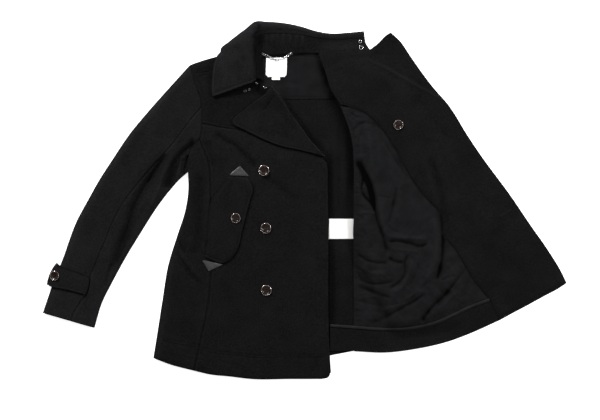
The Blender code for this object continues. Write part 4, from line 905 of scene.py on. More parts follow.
# ----------------------------------------------------------------------------------- collar
# Two layers of melton, turned and edge stitched. The fall leans out over the left shoulder as
# a leaf, and along the back of the neck it is turned under the coat. The stand joins it to
# the neck, gathered into soft upright ripples.
COLLAR_WOOL = 4.4
STAND_WOOL = 3.0
STAND_GAP = 0.8
STAND_ACROSS = 16
FALL_ROWS = [
    # seam x, y, z        roll x, y, z         edge x, y, z        turned under
    (-117, 289, 20.5,    -124, 283, 25.0,     -220, 248, 23.5,     0),
    (-118, 301, 21,      -127, 301, 28,       -222, 264, 24,       0),
    (-118, 325, 22,      -127, 325, 30,       -221, 289, 24.5,     0),
    (-119, 349, 22,      -130, 349, 31,       -218, 318, 25,       0),
    (-119, 366, 22,      -129, 366, 31,       -211, 341, 24,       0),
    (-118, 378, 22,      -127, 380, 32,       -200, 361, 15,       4),
    (-115, 387, 22,      -123, 391, 32,       -180, 379, 14,      12),
    (-110, 393, 22,      -118, 400, 31,       -160, 395, 13,      20),
    (-104, 397, 22,      -112, 407, 30,       -141, 409, 12.5,    26),
    (-97, 399, 21,       -105, 413, 28,       -117, 427, 12,      32),
    (-84, 400, 20.5,     -88, 415, 26,        -90, 426, 11.5,     38),
    (-50, 400, 20,       -50, 413, 24,        -50, 423, 11,       40),
    (-10, 397, 18.5,     -10, 408, 22,        -10, 415, 10,       40),
    (30, 390, 15,         30, 397, 18,         30, 403, 9,        36),
    (65, 387, 12.5,       65, 392.5, 15,       66, 398, 7.8,      32),
    (100, 388, 10.5,     100, 394, 13,        101, 400, 7.0,      30),
    (143, 391, 9.5,      143, 397.5, 11.5,    142, 404, 6.4,      30),
]
LEAF_FOLDS = [
    ([(-167, 371), (-153, 349), (-139, 325)], 5, 1.2),
    ([(-199, 337), (-189, 301), (-194, 265)], 8, -0.7),
    ([(-165, 332), (-155, 304), (-160, 280)], 7, 0.6),
]
# A painted shadow down the collar's crest, where it turns into the leaf: line, width, depth.
CREST_SHADOW = [([(-106, 421), (-111, 411), (-119, 398), (-124, 384)], 5, 4.5)]
STAND_FEET = [(-100, 287, 7.0), (-102, 299, 6.4), (-103, 315, 5.6), (-104, 328, 5.4),
              (-104, 336, 5.2), (-103, 341, 5.0), (-100, 345, 4.8), (-96, 347, 4.5),
              (-90, 348, 4.3), (-83, 349, 4.3), (-72, 350, 4.3), (-46, 352, 4.3),
              (-9, 353, 4.3), (30, 353.5, 4.3), (68, 357, 7.2), (105, 359.5, 7.0),
              (156, 361, 7.0)]
STAND_RIPPLES = [(-92, 2.6), (-78, 3.2), (-66, 2.4), (-52, 3.6), (-36, 3.0), (-20, 2.6), (-5, 3.4)]


def fall_path(row):
    """Across the fall: from its seam with the stand over the roll to its free edge."""
    seam, crest, edge = (np.array(row[i:i + 3], float) for i in (0, 3, 6))
    under = row[9]
    if not under:
        crown = [crest + (edge - crest) * s + np.array((0, 0, 2.0 * s * (1 - s)))
                 for s in steps(0, 1, 8)]
        return np.vstack([[seam], crown])
    out = edge[:2] - crest[:2]
    reach = np.linalg.norm(out)
    out /= reach
    floor = COLLAR_WOOL / 2
    turn_in = min(reach * 0.6, 9)
    path = [seam]
    for t in np.radians(steps(0, 90, 6)):
        path.append((*(crest[:2] + out * reach * np.sin(t)),
                     edge[2] + (crest[2] - edge[2]) * np.cos(t)))
    for t in np.radians(steps(0, 90, 4))[1:]:
        path.append((*(edge[:2] - out * turn_in * (1 - np.cos(t))),
                     edge[2] - (edge[2] - floor) * np.sin(t)))
    path.append((*(edge[:2] - out * (turn_in + under)), floor))
    return np.array(path)


def finer(grid, count, marks=(0.3, 1.6, 3.2, 4.8, 6, 7.2, 9)):
    """The rows of a coarse grid, run smoothly through and set close near both ends."""
    columns = np.stack([smooth(grid[:, k]) for k in range(grid.shape[1])], axis=1)
    far = length_of(columns[:, grid.shape[1] // 2])
    share = ticks(far, far, far / count, marks, marks)
    position = np.interp(share, shares(columns[:, grid.shape[1] // 2]), np.arange(len(columns)))
    low = np.minimum(position.astype(int), len(columns) - 2)
    rest = (position - low)[:, None, None]
    return columns[low] * (1 - rest) + columns[low + 1] * rest, share * far


# The collar's copy of the melton is the palest: painted light.
melton_collar = melton("melton_collar", 0.0066)
coarse = np.array([along(fall_path(row), steps(0, 1, 24)) for row in FALL_ROWS])
grid, down = finer(coarse, 150)
spots = []
for row in grid:
    far = length_of(row)
    spots.append(along(smooth(row[::2]), ticks(far, 150, 3, (0.3, 1.6, 3), EDGE_MARKS)))
spots = np.array(spots)
from_edge = np.array([length_of(row) for row in spots])[:, None] * (1 - np.array(
    [shares(row) for row in spots]))
x, y = spots[..., 0], spots[..., 1]
leaf = ease((385 - y) / 30) * ease((-110 - x) / 15)
uneven = 0.5 * swell(x, y, 34, 2.5)
topside = ease((spots[..., 2] - 14) / 6)
edge_in = np.minimum(from_edge, down[:, None])
sunk = groove(edge_in, EDGE_DENT, 0.5) - 0.3 * band_at(edge_in) + folds(x, y, LEAF_FOLDS)
spots[..., 2] += leaf * (uneven - sunk)
from_seam = np.array([shares(row) * length_of(row) for row in spots])
# Painted light and shade: shade in the leaf's edge dent and folds, painted highlights along its
# edge and on its swells, a band of painted shade on the roll's inner wall beside the seam, and the
# crest's painted shadow.
light_and_shade = (leaf * (SEAM_SHADE * sunk - 1.8 * band_at(edge_in)) - leaf * uneven
        + 4 * ease((12 - from_seam) / 8) * ease((402 - y) / 8) * ease((10 - x) / 25)
        * (1 - 0.5 * ease((340 - y) / 20)) + folds(x, y, CREST_SHADOW))
spots[..., 2] += (1 - leaf) * topside * 0.7 * swell(x, 3 * y, 20, 6.5)
collar = wall("collar_fall_cloth", spots[:, ::-1], COLLAR_WOOL, melton_collar, 1.3,
              light_and_shade[:, ::-1])
dress(collar, ["collar_fall"])

coarse = []
for foot, row in zip(STAND_FEET, FALL_ROWS):
    path = fall_path(row)
    onward = (path[1] - path[0]) / np.linalg.norm(path[1] - path[0])
    head = path[0] - onward * STAND_GAP
    coarse.append(along(smooth([foot, head - onward * 3, head]), steps(0, 1, STAND_ACROSS)))
spots, _ = finer(np.array(coarse), 150, (0.3, 2, 4))
share = steps(0, 1, STAND_ACROSS)
x, y, z = np.moveaxis(spots, -1, 0)
# Painted light and shade: the stand painted darker, much darker at its left end under the leaf,
# paler towards its right end, and painted highlights on the tops of its ripples.
light_and_shade = 1.5 + 2.5 * ease((-95 - x) / 12) - 1.5 * ease((x - 20) / 30)
for at, width in STAND_RIPPLES:
    ripple = np.exp(-((x - at) / width) ** 2) * ease((y - 349) / 6)
    z += 1.3 * ripple * np.sin(np.pi * share) ** 0.7
    y -= 0.8 * ripple * np.sin(np.pi * share)
    light_and_shade -= 5 * ripple * share ** 2
stand = wall("collar_stand_cloth", spots[:, ::-1], STAND_WOOL, melton_collar, 0.9, light_and_shade[:, ::-1])
dress(stand, ["collar_stand"])

# ------------------------------------------------------------------------------- left sleeve
# The left sleeve lies flat under the opened front and lifts it. It is cut like the right one,
# from an upper and an under piece of melton with rounded edges.
HIDDEN_OUTER = [(120, 296), (193, 229), (262, 121), (315, -11), (336, -119), (345, -203),
                (346, -252)]
HIDDEN_INNER = [(120, 82), (137, 1), (161, -95), (193, -191), (229, -290)]
HIDDEN_HEIGHT = [(0.0, 11.0), (0.5, 10.2), (1.0, 9.2)]
HIDDEN_TURN = 9
HIDDEN_AIR = 0.9
HIDDEN_FINE = 12
HIDDEN_SLEEVE = sheet_between(chain([HIDDEN_OUTER[0], HIDDEN_INNER[0]]),
                              chain([HIDDEN_OUTER[-1], HIDDEN_INNER[-1]]),
                              chain(HIDDEN_OUTER), chain(HIDDEN_INNER))
hidden_part = steps(0, 1, 20)
hidden_middle = HIDDEN_SLEEVE(0.5, hidden_part)
hidden_half = np.array([distance_across(HIDDEN_SLEEVE, v) / 2 for v in hidden_part])

for name, from_edge, area in (("left_upper_sleeve", 0, 0.0925),
                              ("left_under_sleeve", 1, 0.0684)):
    toward = 1 - 2 * from_edge
    v = steps(0, 1, 80)[:, None]
    across = np.interp(v, hidden_part, 2 * hidden_half)
    end = 0.5 * across - SEAM / 2
    turns = np.radians(steps(-90, 90, HIDDEN_FINE))
    flat_part = HIDDEN_TURN + (end - HIDDEN_TURN) * steps(0, 1, HIDDEN_FINE)[1:]
    rounded = np.tile(HIDDEN_TURN * (1 - np.cos(turns)), (len(v), 1))
    inward = np.hstack([flat_part[:, ::-1], rounded, flat_part])
    share = np.concatenate([np.zeros(HIDDEN_FINE), 0.5 + 0.5 * np.sin(turns),
                            np.ones(HIDDEN_FINE)])
    v = np.tile(v, inward.shape[1])
    flat = HIDDEN_SLEEVE(from_edge + toward * inward / across, v)
    high = np.interp(v, *zip(*HIDDEN_HEIGHT))
    z = FLOOR_PLY + (high - FLOOR_PLY) * share
    piece = wall(name + "_cloth", np.dstack([flat, z]), WOOL, melton_sleeve)
    dress(piece, [name])

# ------------------------------------------------------------------- opened front and facing
# The left front is thrown open about its side seam, so its outer cloth lies face down and its
# wide melton facing shows, with the front edge, the lapel and the hem edge stitched.
OPEN_FOLD = [(33, 354), (48, 313), (61, 270), (85, 229)]
ARMHOLE_TURN = [(85, 229), (98, 227), (109, 222)]
OPEN_NECK = [(33, 354), (45, 358), (60, 360), (97, 360.5), (157, 362)]
OPEN_LAPEL = [(157, 362), (176, 377), (195, 396), (206, 403)]
OPEN_EDGE = [(206, 403), (227, 384), (252, 348), (280, 308), (309, 270), (343, 231), (391, 155),
             (417, 116), (501, 1), (540, -57), (580, -114), (615, -171), (628, -198)]
OPEN_HEM = [(466, -288), (494, -272.5), (532, -252.5), (570, -231.5), (610, -210), (628, -198)]
FACING_SEAM = [(109, 222), (137, 212), (169, 188), (217, 121), (257, 49), (301, -6), (325, -30),
               (333, -83), (361, -119), (397, -179), (443, -239)]
FACING_END = [(443, -239), (466, -288)]
LINING_TOP = [(86.5, 226), (109, 222)]
LINING_SIDE = [(86.5, 226), (97, 200), (107, 172), (115.5, 133), (118.4, 85), (118.4, 0),
               (118.4, -200), (118.6, -305)]
TAPE_LINE = [(118.6, -305), (205, -310), (253, -307), (286, -301),
             (325, -289), (361, -272), (397, -256), (443, -239)]
HEM_LINE = [(118.4, -362), (193, -365), (265, -356.5), (349, -337), (397, -319), (466, -288)]
BACK_TAPE = [(61, -301), (118.6, -305)]
BACK_HEM = [(61, -361), (118.4, -361)]
OPEN_RAISE = [(28, 0), (78, 12.5), (130, 14), (229, 14), (270, 12), (310, 9), (344, 6), (359, 5)]
OPEN_RAISE_EDGE = 128
OPEN_RAISE_FALL = 70
LAYER_ROOM = 0.3
FACING_FOLDS = [
    ([(142, 342), (154, 335), (205, 311), (253, 283), (301, 257), (334, 239)], 2.8, -2.2),
    ([(161, 343), (209, 318), (257, 292), (305, 265)], 3.5, 1.0),
    ([(161, 323), (209, 299), (257, 270), (296, 248)], 6, 0.8),
    ([(262, 258), (289, 222), (315, 184), (353, 140)], 7, 0.9),
    ([(190, 282), (209, 246)], 5, 0.8),
    ([(109, 332), (111, 289), (101, 253)], 10, 1.0),
    ([(157, 253), (185, 198), (229, 145)], 12, 0.8),
    ([(298, 109), (315, 54), (327, 6), (335, -42), (338, -90)], 7, 3.2),
    ([(284, 97), (301, 49), (313, 6), (322, -23)], 8, -1.0),
    ([(373, 54), (421, -11), (457, -83)], 14, -0.7),
    ([(440, -102), (497, -148), (541, -191)], 14, 0.7),
    ([(397, -227), (469, -203), (565, -215)], 12, 0.7),
]
FACING = sheet_between(chain(OPEN_NECK, OPEN_LAPEL), chain(OPEN_HEM),
                       chain(OPEN_FOLD, ARMHOLE_TURN, FACING_SEAM, FACING_END),
                       chain(OPEN_EDGE))
LINING = sheet_between(chain(LINING_TOP), chain(TAPE_LINE), chain(LINING_SIDE),
                       chain(FACING_SEAM))
HEM = sheet_between(chain(TAPE_LINE), chain(HEM_LINE),
                    chain([TAPE_LINE[0], HEM_LINE[0]]), chain(FACING_END))


def over_hidden_sleeve(x, y):
    """How much the opened front is lifted by the sleeve below it."""
    gap, v = nearest_on(hidden_middle, x, y)
    tube = np.interp(v, *zip(*HIDDEN_HEIGHT)) - FLOOR_PLY + PLY + HIDDEN_AIR
    beside = ease((1.7 - gap / np.interp(v, hidden_part, hidden_half)) / 0.6)
    end = hidden_middle[-1] - hidden_middle[-2]
    end /= np.linalg.norm(end)
    beyond = (x - hidden_middle[-1][0]) * end[0] + (y - hidden_middle[-1][1]) * end[1]
    return tube * beside * ease(1 - (beyond - 16) / 40)


def open_form(x, y):
    """Middle of the opened front's outer cloth."""
    raised = between(OPEN_RAISE, y) * ease(1 - (x - OPEN_RAISE_EDGE) / OPEN_RAISE_FALL)
    raised = raised * (y > 28)
    return FLOOR_PLY + np.maximum(raised, over_hidden_sleeve(x, y))


def facing_lift(x, y):
    """How far the facing is loosely lifted off the outer cloth."""
    loose = 1.6 + 0.9 * swell(x, y, 60, 8.8) + 0.3 * swell(x, y, 22, 3.3)
    return np.maximum(loose - folds(x, y, FACING_FOLDS), 0)


# The opened front's copy of the melton is darker: painted shade.
melton_open = melton("melton_open", 0.0045)
above = length_of(chain(OPEN_FOLD, ARMHOLE_TURN))
to_hem = above + length_of(chain(FACING_SEAM))
whole = to_hem + length_of(chain(FACING_END))
TOP_ROWS, LINING_ROWS, HEM_ROWS = 24, 90, 9
levels = np.concatenate([steps(0, above / whole, TOP_ROWS),
                         steps(above, to_hem, LINING_ROWS)[1:] / whole,
                         steps(to_hem, whole, HEM_ROWS)[1:] / whole])
outer = FACING(np.tile(steps(1, 0, 30), (len(levels), 1)), np.tile(levels[:, None], 31))
inner = np.full((len(levels), 40, 2), np.nan)
sides = steps(1, 0, 40)[1:]
hem_row = TOP_ROWS + LINING_ROWS + 1
inner[TOP_ROWS:hem_row] = LINING(sides, steps(0, 1, LINING_ROWS)[:, None])
inner[hem_row:] = HEM(sides, steps(0, 1, HEM_ROWS)[1:, None])
flat = np.concatenate([outer, inner], axis=1)
x, y = np.nan_to_num(flat[..., 0]), np.nan_to_num(flat[..., 1])
left_front = wall("left_front_cloth", np.dstack([flat, open_form(x, y)]), WOOL, melton_open)
dress(left_front, ["left_front"])

FACING_INNER_MARKS = (0.4, 1.4, 2.6, 4)
x, y, _, v, (left, right, top, low) = lattice(FACING, 3, FACING_INNER_MARKS, EDGE_MARKS,
                                              EDGE_MARKS, EDGE_MARKS)
edge_in = np.minimum(right, np.minimum(low, np.where(x > OPEN_LAPEL[0][0], top, 1e3)))
lift = ease(np.minimum.reduce([left, right, top, low]) / 12) * facing_lift(x, y)
sunk = (groove(edge_in, EDGE_DENT, 0.5) + rolled_in(edge_in, 0.8, 1.6)
        + rolled_in(left, 0.9) * (v > above / whole))
z = open_form(x, y) + PLY + LAYER_ROOM + lift - sunk
# Painted light and shade: shade at the edge dent and where the facing lies low, and a painted
# highlight along its edge.
light_and_shade = SEAM_SHADE * sunk + 0.9 * (1.6 - facing_lift(x, y)) - EDGE_HIGHLIGHT * band_at(edge_in)
left_facing = wall("left_facing_cloth", np.dstack([x, y, z]), WOOL, melton_open, painted_shade=light_and_shade)
dress(left_facing, ["left_facing"])

# ----------------------------------------------------------------------------- satin lining
# The lining is cut fuller than the coat, so it lies in loose wrinkles that run from the
# armhole and the side seam towards the facing. It is sewn in all round.
LINING_FOLDS = [
    # line of the fold, width, depth
    ([(125, 97), (137, 78), (152, 49), (161, 20), (166, -11),
      (173, -47), (183, -76), (193, -107), (200, -136)], 6, 5.5),
    ([(128, 97), (142, 73), (157, 39), (166, 1)], 9, 4.0),
    ([(120, 102), (133, 78), (147, 49), (159, 13), (166, -23)], 6, 6.0),
    ([(128, 92), (141, 62), (152, 32), (161, 2), (168, -30)], 3, 5.0),
    ([(140, 57), (137, 20), (147, 4), (164, -8)], 4, 5.5),
    ([(137, 90), (161, 49), (173, 13), (178, -23), (185, -59), (200, -95)], 7, -3.5),
    ([(133, 157), (135, 126), (137, 97)], 3.5, -2.0),
    ([(152, 169), (157, 121), (161, 73)], 4, -2.2),
    ([(171, 160), (178, 121), (176, 78)], 4, -1.6),
    ([(123, 121), (130, 145), (140, 174)], 2.5, 1.6),
    ([(113, 145), (118, 169), (137, 184), (164, 184),
      (188, 167), (205, 138), (221, 107), (236, 73)], 3, 2.5),
    ([(188, 145), (207, 114), (226, 83), (248, 54)], 2.6, 2.2),
    ([(197, 150), (219, 116), (241, 83)], 3, -1.4),
    ([(109, 212), (123, 200), (140, 198)], 2.5, 2.0),
    ([(118, 224), (133, 212), (147, 210)], 2.5, 1.6),
    ([(111, 193), (125, 196)], 2.5, 1.4),
    ([(113, 203), (128, 191), (147, 193)], 3, -1.4),
    ([(221, 35), (214, 1), (207, -32), (200, -59)], 3.2, 3.2),
    ([(231, 25), (224, -11), (219, -47)], 6, -1.8),
    ([(200, -59), (212, -73), (229, -76)], 2.6, 1.6),
    ([(171, 11), (190, 8), (205, 4)], 2.6, 1.6),
    ([(195, -100), (219, -98), (253, -104), (277, -110), (296, -102)], 4.2, 4.6),
    ([(195, -85), (241, -90), (293, -92)], 5, -2.4),
    ([(205, -116), (241, -119), (277, -124)], 4, -1.6),
    ([(200, -136), (217, -148), (236, -148)], 4.4, 4.5),
    ([(248, -128), (239, -148), (238, -179), (221, -200), (200, -212)], 3.4, 4.6),
    ([(257, -138), (250, -172), (233, -205), (209, -224)], 5, -2.4),
    ([(312, 4), (322, -16), (328, -47), (330, -90), (329, -131), (323, -167), (312, -198)], 5, 7.5),
    ([(305, -35), (313, -83), (313, -131), (303, -167), (286, -200)], 6, -2.8),
    ([(293, -220), (265, -239), (229, -260), (193, -280), (152, -294)], 4.2, 4.0),
    ([(286, -208), (257, -229), (219, -251), (181, -265)], 4.5, -2.4),
    ([(296, -191), (272, -220), (233, -244), (200, -253)], 3, 2.4),
    ([(272, -148), (262, -181), (248, -210)], 3, 1.8),
    ([(349, -212), (325, -236), (303, -258), (286, -280), (279, -294)], 5.4, 6.5),
    ([(391, -150), (375, -176), (358, -200), (340, -222)], 3, 3.5),
    ([(363, -215), (339, -241), (315, -265)], 5, -2.0),
    ([(377, -169), (361, -191), (344, -215)], 3.4, 2.8),
    ([(325, -193), (344, -184), (365, -179)], 2.6, 2.2),
    ([(339, -148), (353, -172), (346, -196)], 5, -1.8),
    ([(123, -128), (147, -143), (171, -150), (200, -150)], 4, 3.0),
    ([(133, -160), (161, -174), (195, -174)], 6, -2.2),
    ([(125, -167), (137, -191), (161, -200), (195, -198), (219, -191)], 3.4, 2.8),
    ([(125, -205), (152, -215), (181, -227), (209, -234)], 3.8, 2.8),
    ([(133, -239), (166, -251), (190, -253)], 4, 1.6),
    ([(133, -28), (152, -30), (171, -32)], 3, -1.4),
    ([(128, -66), (147, -85), (161, -119)], 5, 1.2),
    ([(361, -239), (377, -248), (406, -239)], 3, 1.2),
    ([(118, -109), (130, -112), (142, -119)], 2.4, 1.0),
]
SIDE_TUCKS = [(68, 59, 1.2), (44, 35, 0.9), (18, 8, 1.3), (-11, -20, 1.0),
              (-35, -44, 1.4), (-59, -68, 0.9), (-83, -92, 1.3), (-162, -172, 1.0),
              (-186, -196, 1.2), (-239, -248, 1.3), (-263, -272, 1.0), (-287, -296, 1.2)]
LINING_FOLDS += [([(118, first), (130, first - 2), (142, last)], 2.4, depth)
                 for first, last, depth in SIDE_TUCKS]
LINING_PUFF = 4.5


def rucks(x, y, size, turned, seed):
    """Fine sharp wrinkles, four times as long as they are apart, from 0 to 1."""
    c, s = np.cos(np.radians(turned)), np.sin(np.radians(turned))
    gentle = swell(x * c + y * s, 4 * (y * c - x * s), 4 * size, seed)
    return np.exp(-np.abs(gentle) * 5)


lining_satin = satin_twill("lining_satin", 0.0040, 1.08)
x, y, _, _, (left, right, top, low) = lattice(LINING, 2.5, (0.4, 1.2, 2.4), (0.6, 1.6, 3),
                                              (0.6, 2), (0.6, 2))
inset = np.minimum.reduce([left, right, top, low])
full = 0.35 + 0.65 * ease(over_hidden_sleeve(x, y) / 8)
puff = LINING_PUFF * full * ease(left / 14) * ease(right / 60) * ease(top / 12) * ease(low / 24)
pleats = ease(inset / 4) * folds(x, y, LINING_FOLDS, 1.5)
fine = (0.9 * rucks(x, y, 11, 10, 2.1) * ease((200 - x) / 60)
        + 0.8 * rucks(x, y, 13, 62, 6.1) * ease((x - 150) / 60)
        + 0.6 * rucks(x, y, 9, -40, 4.7) * ease((-60 - y) / 60)) * ease(inset / 6)
uneven = 0.8 * swell(x, y, 34, 2.1) * ease(inset / 20)
lift = puff - pleats + fine + uneven
lift = 0.5 * (lift + np.sqrt(lift * lift + 1.0)) - 0.5
z = open_form(x, y) + (WOOL + SATIN) / 2 + SEAM + LAYER_ROOM + np.maximum(lift, 0)
# Painted light and shade: shade in the pleats and along the facing seam, and painted highlights on
# the fine wrinkles and on the swells.
light_and_shade = 0.9 * pleats - 1.4 * fine - 0.6 * uneven + 1.6 * band_at(right, 0, 3)
x = x - 1.8 * ease(1 - left / 5)
lining = wall("left_lining_cloth", np.dstack([x, y, z]), SATIN, lining_satin, 0, light_and_shade)
dress(lining, ["left_lining"])

# -------------------------------------------------------------------------------------- hem
# The hem is turned up inside, its raw edge bound with a narrow tape, and the lining ends
# above it. It runs on along the back as far as the closed front.
TAPE_CROWN = 0.9


def hem_ground(x, y):
    """Middle of the hem's cloth, on the opened front or on the back."""
    return np.where(x > HEM_LINE[0][0], open_form(x, y), FLOOR_PLY) + (PLY + LAYER_ROOM)


top_line, foot_line = (np.vstack([along(smooth(on_back), steps(0, 1, 24)),
                                  along(chain(on_front), steps(0, 1, 150))[1:]])
                       for on_back, on_front in ((BACK_TAPE, TAPE_LINE), (BACK_HEM, HEM_LINE)))
down = np.concatenate([[0.01], steps(0.06, 0.94, 14), [0.965, 0.99]])[:, None, None]
x, y = np.moveaxis(top_line + (foot_line - top_line) * down, -1, 0)
z = hem_ground(x, y) + 0.4 * ease(down[..., 0] * 6) * (1 + swell(x, y, 34, 4.9))
# Painted light: the hem is painted paler between x 170 and 410 mm, lifting the shade where it
# slopes away from the light.
shade = -1.5 * ease((x - 170) / 60) * ease((410 - x) / 60)
hem = wall("hem_cloth", np.dstack([x, y, z]), WOOL, melton_open, painted_shade=shade)
dress(hem, ["hem_facing"])

binding = satin_twill("hem_binding", 0.0078, 1.05, 0.5)
wide = np.array([-4.4, -4.0, -3.2, -2.2, -1.2, -0.2, 0.8, 1.4, 1.8])[:, None, None]
x, y = np.moveaxis(top_line + (moved(top_line, 1) - top_line) * wide, -1, 0)
puff = np.cos((wide[..., 0] + 1.3) / 3.3 * np.pi / 2)
z = (hem_ground(x, y) + (WOOL + SATIN) / 2 + SEAM + LAYER_ROOM + TAPE_CROWN * puff
     + 0.2 * swell(x, y, 9, 1.9))
hem_tape = wall("hem_binding_tape", np.dstack([x, y, z]), SATIN, binding, 0)
dress(hem_tape, ["hem_tape"])

# ------------------------------------------------------------------------------ pocket flap
# A slanted flap, sewn along its left edge and edge stitched, with a small triangle of
# leather sewn over each end of the pocket to stop it tearing.
FLAP_SEAM = [(-184, 56), (-203, 28), (-223, 1), (-231, -67), (-239, -136)]
FLAP_TOP = [(-184, 56), (-136, 54)]
FLAP_EDGE = [(-136, 54), (-124, 27), (-131, 1), (-147, -60), (-163, -119), (-172, -133)]
FLAP_END = [(-239, -136), (-194, -149), (-172, -133)]
FLAP_LIFT = 0.8
HIDE = 1.0
FLAP = sheet_between(chain(FLAP_TOP), chain(FLAP_END), chain(FLAP_SEAM), chain(FLAP_EDGE))
PATCHES = [
    ("pocket_patch_upper", [(-181, 60.5), (-155, 83), (-134, 58.5)]),
    ("pocket_patch_lower", [(-246, -142.5), (-196, -153.5), (-230, -169)]),
]

x, y, _, _, (left, right, top, low) = lattice(FLAP, 2.6, *[EDGE_MARKS] * 4)
puffed = ease(np.minimum.reduce([left, right, top, low]) / 14)
edge_in = np.minimum.reduce([right, top, low])
sunk = (groove(left, 4, 0.4, 1) + groove(edge_in, EDGE_DENT, 0.55) + rolled_in(edge_in, 1.1, 1.6)
        + rolled_in(left, 1.0, 1.6))
z = front_form(x, y) + WOOL + FLAP_LIFT + 1.6 * puffed + 0.3 * swell(x, y, 30, 5.5) - sunk
# Painted light and shade: shade in the seam and edge dents, and painted highlights along the edges
# and on the flap's swells.
light_and_shade = SEAM_SHADE * sunk - 2 * band_at(edge_in) - 0.5 * swell(x, y, 30, 5.5)
flap = wall("pocket_flap_cloth", np.dstack([x, y, z]), WOOL, melton_front, painted_shade=light_and_shade)
dress(flap, ["pocket_flap"])


def leather(name, tone):
    """Smooth hide, soft with wear, with a fine pebbled grain."""
    material, nodes, links = finish(name, {"Roughness": 0.45})
    place = on_piece(nodes)
    pebble = pattern(nodes, links, "Voronoi", place, Scale=900)
    wear = pattern(nodes, links, "Noise", place, Scale=120, Detail=4)
    dye(nodes, links, wear.outputs["Fac"], (0.3, [tone * 0.6] * 3), (0.75, [tone * 1.9] * 3))
    emboss(nodes, links, pebble.outputs["Distance"], 0.4, 0.0004)
    return material


hide = leather("pocket_leather", 0.017)
for name, corners in PATCHES:
    tip, side_a, side_b = np.array(corners, float)
    down = np.concatenate([[0.08], steps(0.12, 0.94, 12), [1.0]])[:, None, None]
    over = np.concatenate([[0.0], steps(0.06, 0.94, 12), [1.0]])[None, :, None]
    x, y = np.moveaxis(tip + (side_a - tip) * down * (1 - over) + (side_b - tip) * down * over,
                       -1, 0)
    rim = ease(np.minimum(np.minimum(over, 1 - over), 1 - down)[..., 0] * 8)
    z = front_form(x, y) + WOOL / 2 + HIDE / 2 + SEAM + 0.7 * rim
    patch = wall(name + "_leather", np.dstack([x, y, z]), HIDE, hide, 0.25)
    dress(patch, [name])

# ------------------------------------------------------------------- stitches and buttonholes
# Every edge and seam is topstitched in thick black thread, which lies half sunk in the nap.
# The buttonholes are worked over in the same thread, round a narrow slit.
TREES = {}


def tree_of(piece):
    """The faces of a piece, ready for dropping things onto it."""
    if piece.name not in TREES:
        points = [spot.co.copy() for spot in piece.data.vertices]
        faces = [tuple(face.vertices) for face in piece.data.polygons]
        TREES[piece.name] = BVHTree.FromPolygons(points, faces)
    return TREES[piece.name]


def top_of(*pieces):
    """A function that drops a place onto the highest of the pieces: (spot, normal), in mm."""
    trees = [tree_of(piece) for piece in pieces]

    def drop(x, y):
        start = Vector((x, y, 1000)) * MM
        hits = [tree.ray_cast(start, Vector((0, 0, -1))) for tree in trees]
        hits = [(hit[0] / MM, hit[1]) for hit in hits if hit[0] is not None]
        return max(hits, key=lambda hit: hit[0].z) if hits else None

    return drop


def thread(name, tone, rough=0.6):
    """Twisted sewing thread."""
    material, nodes, links = finish(name, {"Roughness": rough, "Specular IOR Level": 0.03})
    twist = pattern(nodes, links, "Noise", on_piece(nodes), Scale=2600).outputs["Fac"]
    dye(nodes, links, twist, (0.35, [tone * 0.6] * 3), (0.65, [tone * 1.5] * 3))
    emboss(nodes, links, twist, 0.5, 0.0002)
    return material


RING = [(np.cos(a), np.sin(a)) for a in np.radians(np.arange(0, 360, 60))]
BARREL = [(-0.8, 0.7), (0.0, 1.0), (0.8, 0.7)]
HIGHEST_STEP = 2.5


def stitches(name, runs, drop, material, thick=0.75, sink=0.1):
    """One mesh of short stitches; each run is a pair of flat places, set on the cloth.

    A stitch that would cross a step from one piece to another is left out."""
    spots, faces = [], []
    for first, last in runs:
        ends = [drop(*first), drop(*last)]
        if None in ends or abs(ends[0][0].z - ends[1][0].z) > HIGHEST_STEP:
            continue
        (a, normal_a), (b, normal_b) = ends
        up = (normal_a + normal_b).normalized()
        run = (b - a) / 2
        aside = run.cross(up).normalized()
        middle = (a + b) / 2 - up * sink
        start = len(spots)
        spots.append(middle - run)
        for at, size in BARREL:
            spots += [middle + run * at + (aside * c + up * s * 0.8) * size * thick / 2
                      for c, s in RING]
        spots.append(middle + run)
        for k in range(6):
            n = (k + 1) % 6
            faces.append((start, start + 1 + k, start + 1 + n))
            for ring in (0, 6):
                faces.append((start + 1 + ring + k, start + 7 + ring + k,
                              start + 7 + ring + n, start + 1 + ring + n))
            faces.append((start + 13 + k, start + 19, start + 13 + n))
    mesh = bpy.data.meshes.new(name)
    mesh.from_pydata([spot * MM for spot in spots], [], faces)
    return dress(set_out(name, mesh, material), [])


def row_of(line, long=3.2, gap=1.4):
    """The ends of each stitch in a row along a flat line."""
    far = length_of(line)
    middle = (np.arange(int(far // (long + gap))) + 0.5) * (long + gap)
    return list(zip(along(line, (middle - long / 2) / far), along(line, (middle + long / 2) / far)))


def beside(line, aside, low, high):
    """A row of stitches beside a seam or an edge, between two shares of its length."""
    return row_of(along(moved(line, aside), np.linspace(low, high, 80)))


black_thread = thread("black_thread", 0.0032)
drop_front = top_of(side_front, front, yoke, facing)
hem_edge = chain(SIDE_HEM, FRONT_HEM, HEM_CORNER)
front_runs = beside(chain(FRONT_EDGE), EDGE_STITCH, 0.03, 0.99)
for away in SEAM_STITCHES:
    front_runs += beside(chain(PRINCESS_SEAM), -away, 0.01, 0.99)
for away in SEAM_STITCHES:
    front_runs += beside(chain(YOKE_SEAM), -away, 0.01, 0.8)
for above in (HEM_STITCH, HEM_SECOND):
    front_runs += beside(hem_edge, -above, 0.0, 0.98)
for points, _, _ in SHOULDER_RIDGES:
    front_runs += row_of(np.array(points, float), 2.6, 1.2)
stitches("front_topstitching", front_runs, drop_front, black_thread)

